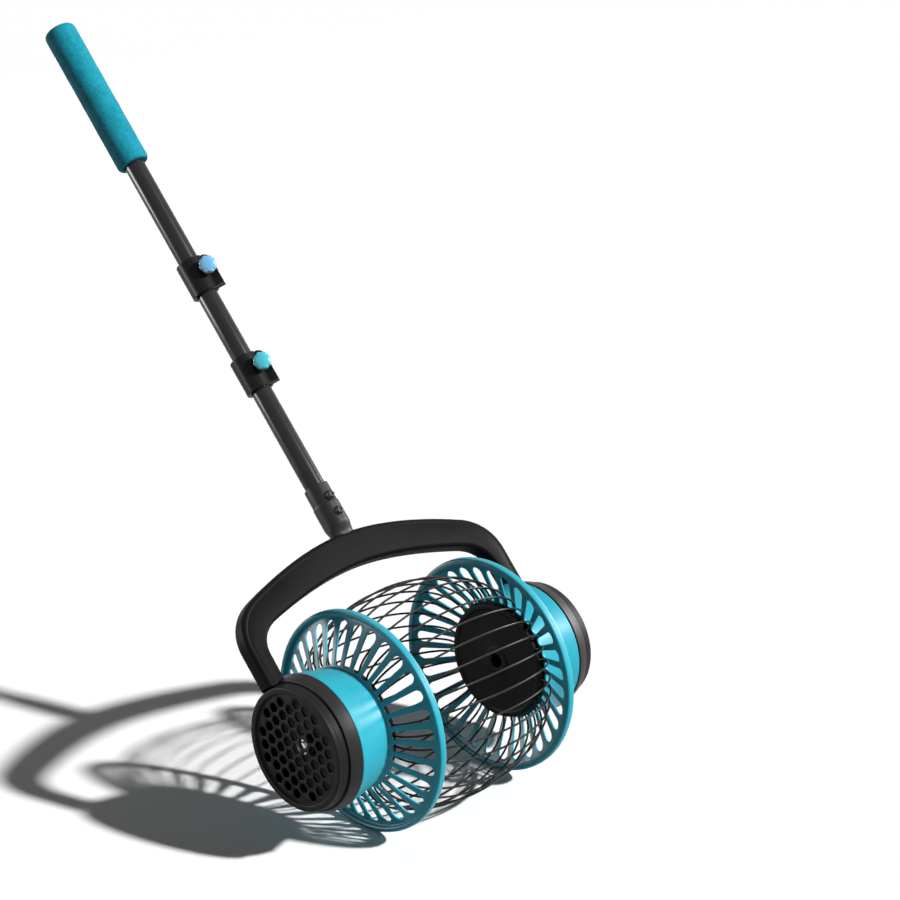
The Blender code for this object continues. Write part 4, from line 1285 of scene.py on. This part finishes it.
@dataclass
class Clamp(Assembly):
    """A pole clamp: a slit sleeve with two ears, a fluted knob, a stud and a nut."""

    label: str
    body: str
    seam: float
    knob_finish: Finish
    length: float = 0.05
    outer_radius: float = 0.0195
    bore_radius: float = 0.0143
    lug_reach: float = 0.0285
    lug_half: float = 0.008
    slit_half: float = 0.0015
    lug_corner: float = 0.01
    ear_inset: float = 0.001
    ear_steps: int = 15
    ring_steps: int = 91
    edge: float = 0.0006
    stud_x: float = 0.0215
    stud_z: float = 0.003
    knob_radius: float = 0.012
    knob_height: float = 0.012
    flutes: int = 8
    pitch: float = 0.001
    hole_radius: float = 0.0032
    boss_radius: float = 0.0075
    boss_foot: float = 0.0055
    boss_front: float = 0.0180
    boss_back: float = 0.0135
    nut_half: float = 0.0056
    nut_thickness: float = 0.005
    gap: float = 0.0003

    def path(self, radius: float, half: float) -> Points:
        """A path from the front ear's tip to the sleeve, round it and back to the other ear's tip.

        Args:
            radius: the path's radius on the sleeve.
            half: its distance from the slit's middle on the ears.

        Returns:
            The path's (x, y) points.
        """
        start = math.asin(half / radius)
        ear = span((self.lug_reach, half), (radius * math.cos(start), half), self.ear_steps)
        ring = polar(radius, span(start, TAU - start, self.ring_steps)[1:-1])
        return np.vstack([ear, ring, ear[::-1] * (1.0, -1.0)])

    def band(self) -> Surface:
        """The sleeve and its ears: a rectangle between an outer and an inner path, carried round the pole.

        Beyond the sleeve the top comes down along the lug's round corner.

        Returns:
            The band's surface.
        """
        outer = self.path(self.outer_radius, self.lug_half)
        inner = self.path(self.bore_radius, self.slit_half)
        inset = np.zeros(len(outer))
        inset[: self.ear_steps] = inset[-self.ear_steps :] = self.ear_inset
        beyond = np.clip(outer[:, 0] - self.lug_reach + self.lug_corner, 0.0, self.lug_corner)
        bottom = inset - 0.5 * self.length
        top = -bottom - self.lug_corner + np.sqrt(self.lug_corner**2 - beyond**2)
        middle, edge = 0.5 * (top + bottom), self.edge
        over, under = [top - edge, top, top, top - edge], [bottom + edge, bottom, bottom, bottom + edge]
        height = np.stack([*over, middle, *under, middle], axis=1)
        share = np.array([0.0, 0.12, 0.88, 1.0, 1.0, 1.0, 0.88, 0.12, 0.0, 0.0])[:, None]
        flat = outer[:, None] * (1 - share) + inner[:, None] * share
        points = np.concatenate([flat, height[..., None]], axis=-1)
        return capped(points, points[[0, -1]].mean(axis=1))

    def boss(self, start: float, end: float) -> Surface:
        """A round boss on an ear, with the stud's hole."""
        outer, hole = self.boss_radius, self.hole_radius
        return lathe([(outer, end), (outer, start), (hole, start), (hole, end)], 0.0005, 4, 48)

    def fluted(self, radius: Points, angle: Points, height: Points) -> Points:
        """How far the knob's side dips: as ((1 - cos 8t) / 2) squared at the angle t, fading inwards."""
        dip = (0.5 - 0.5 * np.cos(self.flutes * angle)) ** 2
        return -0.0009 * dip * np.clip((radius - 0.0085) / 0.003, 0.0, 1.0)

    def knob(self) -> Surface:
        """The knob: a slightly domed top, a fluted side and a closed foot.

        Returns:
            The surface.
        """
        radius, foot = self.knob_radius, self.boss_front + self.gap
        top = foot + self.knob_height
        profile = soften([
            (0.0, top), (0.0055, top - 0.0003), (0.0092, top - 0.0013), (radius, top - 0.0027),
            (radius, foot + 0.0012), (radius - 0.0012, foot), (0.0, foot),
        ], [0.0, 0.0026, 0.0018, 0.0014, 0.0008, 0.0008, 0.0], 6, False)
        rows = span(top - 0.0043, foot + 0.0025, 7)
        return revolve(with_rows(profile, radius, rows), 128, False).swollen(self.fluted)

    def stud(self) -> Surface:
        """The stud, from within the knob to behind the nut: its radius dips once for each turn.

        The dip is a cosine of the length over the thread's pitch, and fades at the stud's ends.

        Returns:
            The stud's surface.
        """
        head, tail = self.boss_front + 0.0043, -(self.boss_back + 0.0073)
        rod = span(head - 0.0006, tail + 0.0006, 8 * int((head - tail) / self.pitch))
        fade = np.clip(np.minimum(head - rod, rod - tail) / 0.0015, 0.0, 1.0)
        radius = 0.0029 - 0.0003 * fade * (0.5 - 0.5 * np.cos(TAU * rod / self.pitch))
        ends = np.array([(0.0, head), (0.0023, head), (0.0023, tail), (0.0, tail)])
        return revolve(np.vstack([ends[:2], np.column_stack([radius, rod]), ends[2:]]), 32, False)

    def nut(self) -> Surface:
        """The nut: a hexagon with its corners taken off by a cone.

        Its radius at the angle t is its flats' half width over the cosine of t's distance from a flat.

        Returns:
            The nut's surface.
        """
        hole, half, angle = self.hole_radius, self.nut_half, circle(96)
        start = -(self.boss_back + self.gap)
        end = start - self.nut_thickness
        hexagon = half / np.cos(np.abs(angle % (TAU / 6) - TAU / 12))
        rows = [(hole, start), (hole, end), (half, end), (hexagon, end + 0.0007), (hexagon, start - 0.0004),
                (hexagon - 0.0003, start)]
        rings = [np.column_stack([polar(r, angle), np.full(len(angle), z)]) for r, z in rows]
        return skin(np.array(rings), True)

    def build(self) -> None:
        """Build and dress the clamp's pieces."""
        place = self.layout.clamp(self.seam)
        stud = place @ shift(self.stud_x, 0.0, self.stud_z) @ TO_FRONT
        clamp, knob, nut = (f"{self.label}_{part}" for part in ("clamp", "knob", "nut"))
        front = self.boss(self.boss_foot, self.boss_front)
        back = self.boss(-self.boss_back, -self.boss_foot)
        self.add(f"{clamp}_sleeve", self.band().mesh(place), Finish.CLAMP, self.body, clamp, 35.0)
        self.add(f"{clamp}_front_boss", front.mesh(stud), Finish.CLAMP, self.body, clamp)
        self.add(f"{clamp}_back_boss", back.mesh(stud), Finish.CLAMP, self.body, clamp)
        self.add(f"{knob}_head", self.knob().mesh(stud), self.knob_finish, knob, knob, 50.0)
        self.add(f"{knob}_stud", self.stud().mesh(stud), Finish.STEEL, knob, knob)
        self.add(f"{nut}_hex", self.nut().mesh(stud), Finish.BLACK_STEEL, self.body, nut, 30.0)


# Camera and studio
@dataclass(frozen=True)
class Camera:
    """The photograph's camera, fitted to the wheels, covers and pole."""

    azimuth: float = -0.8014
    elevation: float = 0.3506
    pan: float = 0.0303
    rise: float = 0.3136
    distance: float = 3.2471
    target_z: float = 0.1432
    focal_px: float = 2524.22
    image_px: float = 900.0
    sensor_mm: float = 36.0

    def build(self, layout: Layout) -> None:
        """Create the camera and make it the scene's own.

        Args:
            layout: the collector's axes.
        """
        across, facing = polar(1.0, self.azimuth), polar(math.cos(self.elevation), self.azimuth)
        right = np.array([*across, 0.0])
        back = np.array([facing[1], -facing[0], math.sin(self.elevation)])
        up = np.cross(back, right)
        target = np.array([0.0, layout.axle_y, self.target_z])
        data = bpy.data.cameras.new("view_camera")
        data.sensor_width = self.sensor_mm
        data.lens = self.focal_px / self.image_px * self.sensor_mm
        data.clip_start, data.clip_end = 0.05, 60.0
        camera = new_object("view_camera", data)
        spot = target + right * self.pan + up * self.rise + back * self.distance
        camera.matrix_world = axes(right, up, back, spot)
        bpy.context.scene.camera = camera


@dataclass(frozen=True)
class Panel:
    """A flat lamp that faces a point.  A card is mirrored by glossy surfaces and lights nothing else."""

    name: str
    power: float
    place: Triple
    size: Pair
    aim_at: Triple
    card: bool = True


@dataclass(frozen=True)
class Studio:
    """A white floor, a hard key lamp from the front right, three panels and a dim room.

    The cards are what the pole's left side and the wheels' right sides mirror, and the fill stands behind.
    """

    key_power: float = 4.75
    key_direction: Triple = (0.342, -0.700, 0.626)
    key_angle_deg: float = 3.2
    ambient: float = 0.045
    floor_reach: float = 14.0
    panels: tuple[Panel, ...] = (
        Panel("left_card", 130.0, (-2.3, 2.6, 0.35), (1.8, 0.7), (0.0, 0.0, 0.45)),
        Panel("right_card", 135.0, (2.75, -1.15, 1.12), (1.2, 0.75), (0.0, -0.28, 0.15)),
        Panel("fill_lamp", 18.0, (0.4, 3.8, 1.15), (3.0, 2.0), (0.0, -0.1, 0.4), card=False),
    )

    def seen_share(self, sheet: Sheet) -> Socket:
        """1 for the rays that see the white backdrop: from the camera, in gloss and through glass.

        Args:
            sheet: the node tree that uses it.

        Returns:
            The share.
        """
        rays = sheet.add("ShaderNodeLightPath").outputs
        straight = sheet.math("MAXIMUM", rays["Is Camera Ray"], rays["Is Transmission Ray"])
        return sheet.math("MAXIMUM", straight, rays["Is Glossy Ray"])

    def floor(self) -> None:
        """The floor: matt, pale, and white to the camera wherever no shadow falls on it."""
        paint = Paint("pale_floor")
        tone = paint.remap(paint.noise(paint.place, 3.0, 2.0), 0.3, 0.7)
        color = paint.blend(tone, (0.25, 0.25, 0.25, 1.0), (0.27, 0.27, 0.27, 1.0))
        seen = paint.blend(self.seen_share(paint), color, (1.0, 1.0, 1.0, 1.0))
        paint.feed(paint.shader, {"Base Color": seen, "Roughness": 0.7, "Specular IOR Level": 0.1})
        mesh = bpy.data.meshes.new("floor")
        corners = np.array([(-1.0, -1.0, 0.0), (1.0, -1.0, 0.0), (1.0, 1.0, 0.0), (-1.0, 1.0, 0.0)])
        mesh.from_pydata((corners * self.floor_reach).tolist(), [], [(0, 1, 2, 3)])
        mesh.materials.append(paint.material)
        new_object("floor", mesh)

    def hang(self, lamp: bpy.types.Light, away: Triple, spot: Triple) -> bpy.types.Object:
        """Hang a lamp at a spot with its back towards a direction.

        Args:
            lamp: the lamp.
            away: the direction.
            spot: the lamp's place.

        Returns:
            The lamp's object.
        """
        back = np.array(away) / np.linalg.norm(away)
        side = np.cross([0.0, 0.0, 1.0], back)
        side /= np.linalg.norm(side)
        holder = new_object(lamp.name, lamp)
        holder.matrix_world = axes(side, np.cross(back, side), back, np.array(spot))
        return holder

    def lamps(self) -> None:
        """Hang the key lamp and the panels."""
        key = bpy.data.lights.new("key_lamp", "SUN")
        key.energy = self.key_power
        key.angle = math.radians(self.key_angle_deg)
        self.hang(key, self.key_direction, (0.0, 0.0, 0.0))
        for panel in self.panels:
            lamp = bpy.data.lights.new(panel.name, "AREA")
            lamp.energy = panel.power
            lamp.shape = "RECTANGLE"
            lamp.size, lamp.size_y = panel.size
            away = np.subtract(panel.place, panel.aim_at)
            self.hang(lamp, away, panel.place).visible_diffuse = not panel.card

    def room(self) -> None:
        """A room that is dim to matt surfaces and white to the camera, in gloss and through glass."""
        world = bpy.data.worlds.new("dim_room")
        bpy.context.scene.world = world
        world.use_nodes = True
        sheet = Sheet(world.node_tree)
        strength = sheet.remap(self.seen_share(sheet), 0.0, 1.0, self.ambient, 1.0)
        sheet.feed(sheet.tree.nodes["Background"], {"Strength": strength, "Color": (1.0, 1.0, 1.0, 1.0)})

    def build(self) -> None:
        """Build the floor, the lamps and the room."""
        self.floor()
        self.lamps()
        self.room()
        bpy.context.scene.view_settings.view_transform = "Standard"


def main() -> None:
    """Build the collector, the camera and the studio."""
    logging.basicConfig(level=logging.INFO, format="%(message)s")
    layout = Layout()
    Camera().build(layout)
    shared = (layout, build_finishes())
    for side in Side:
        Wheel(*shared, side).build()
        Hub(*shared, side).build()
        Cover(*shared, side).build()
    Cage(*shared).build()
    Yoke(*shared).build()
    Pole(*shared).build()
    Clamp(*shared, "lower", "frame", layout.lower_seam, Finish.LOWER_KNOB).build()
    Clamp(*shared, "upper", "middle_section", layout.upper_seam, Finish.UPPER_KNOB).build()
    Studio().build()


if __name__ == "__main__":
    main()
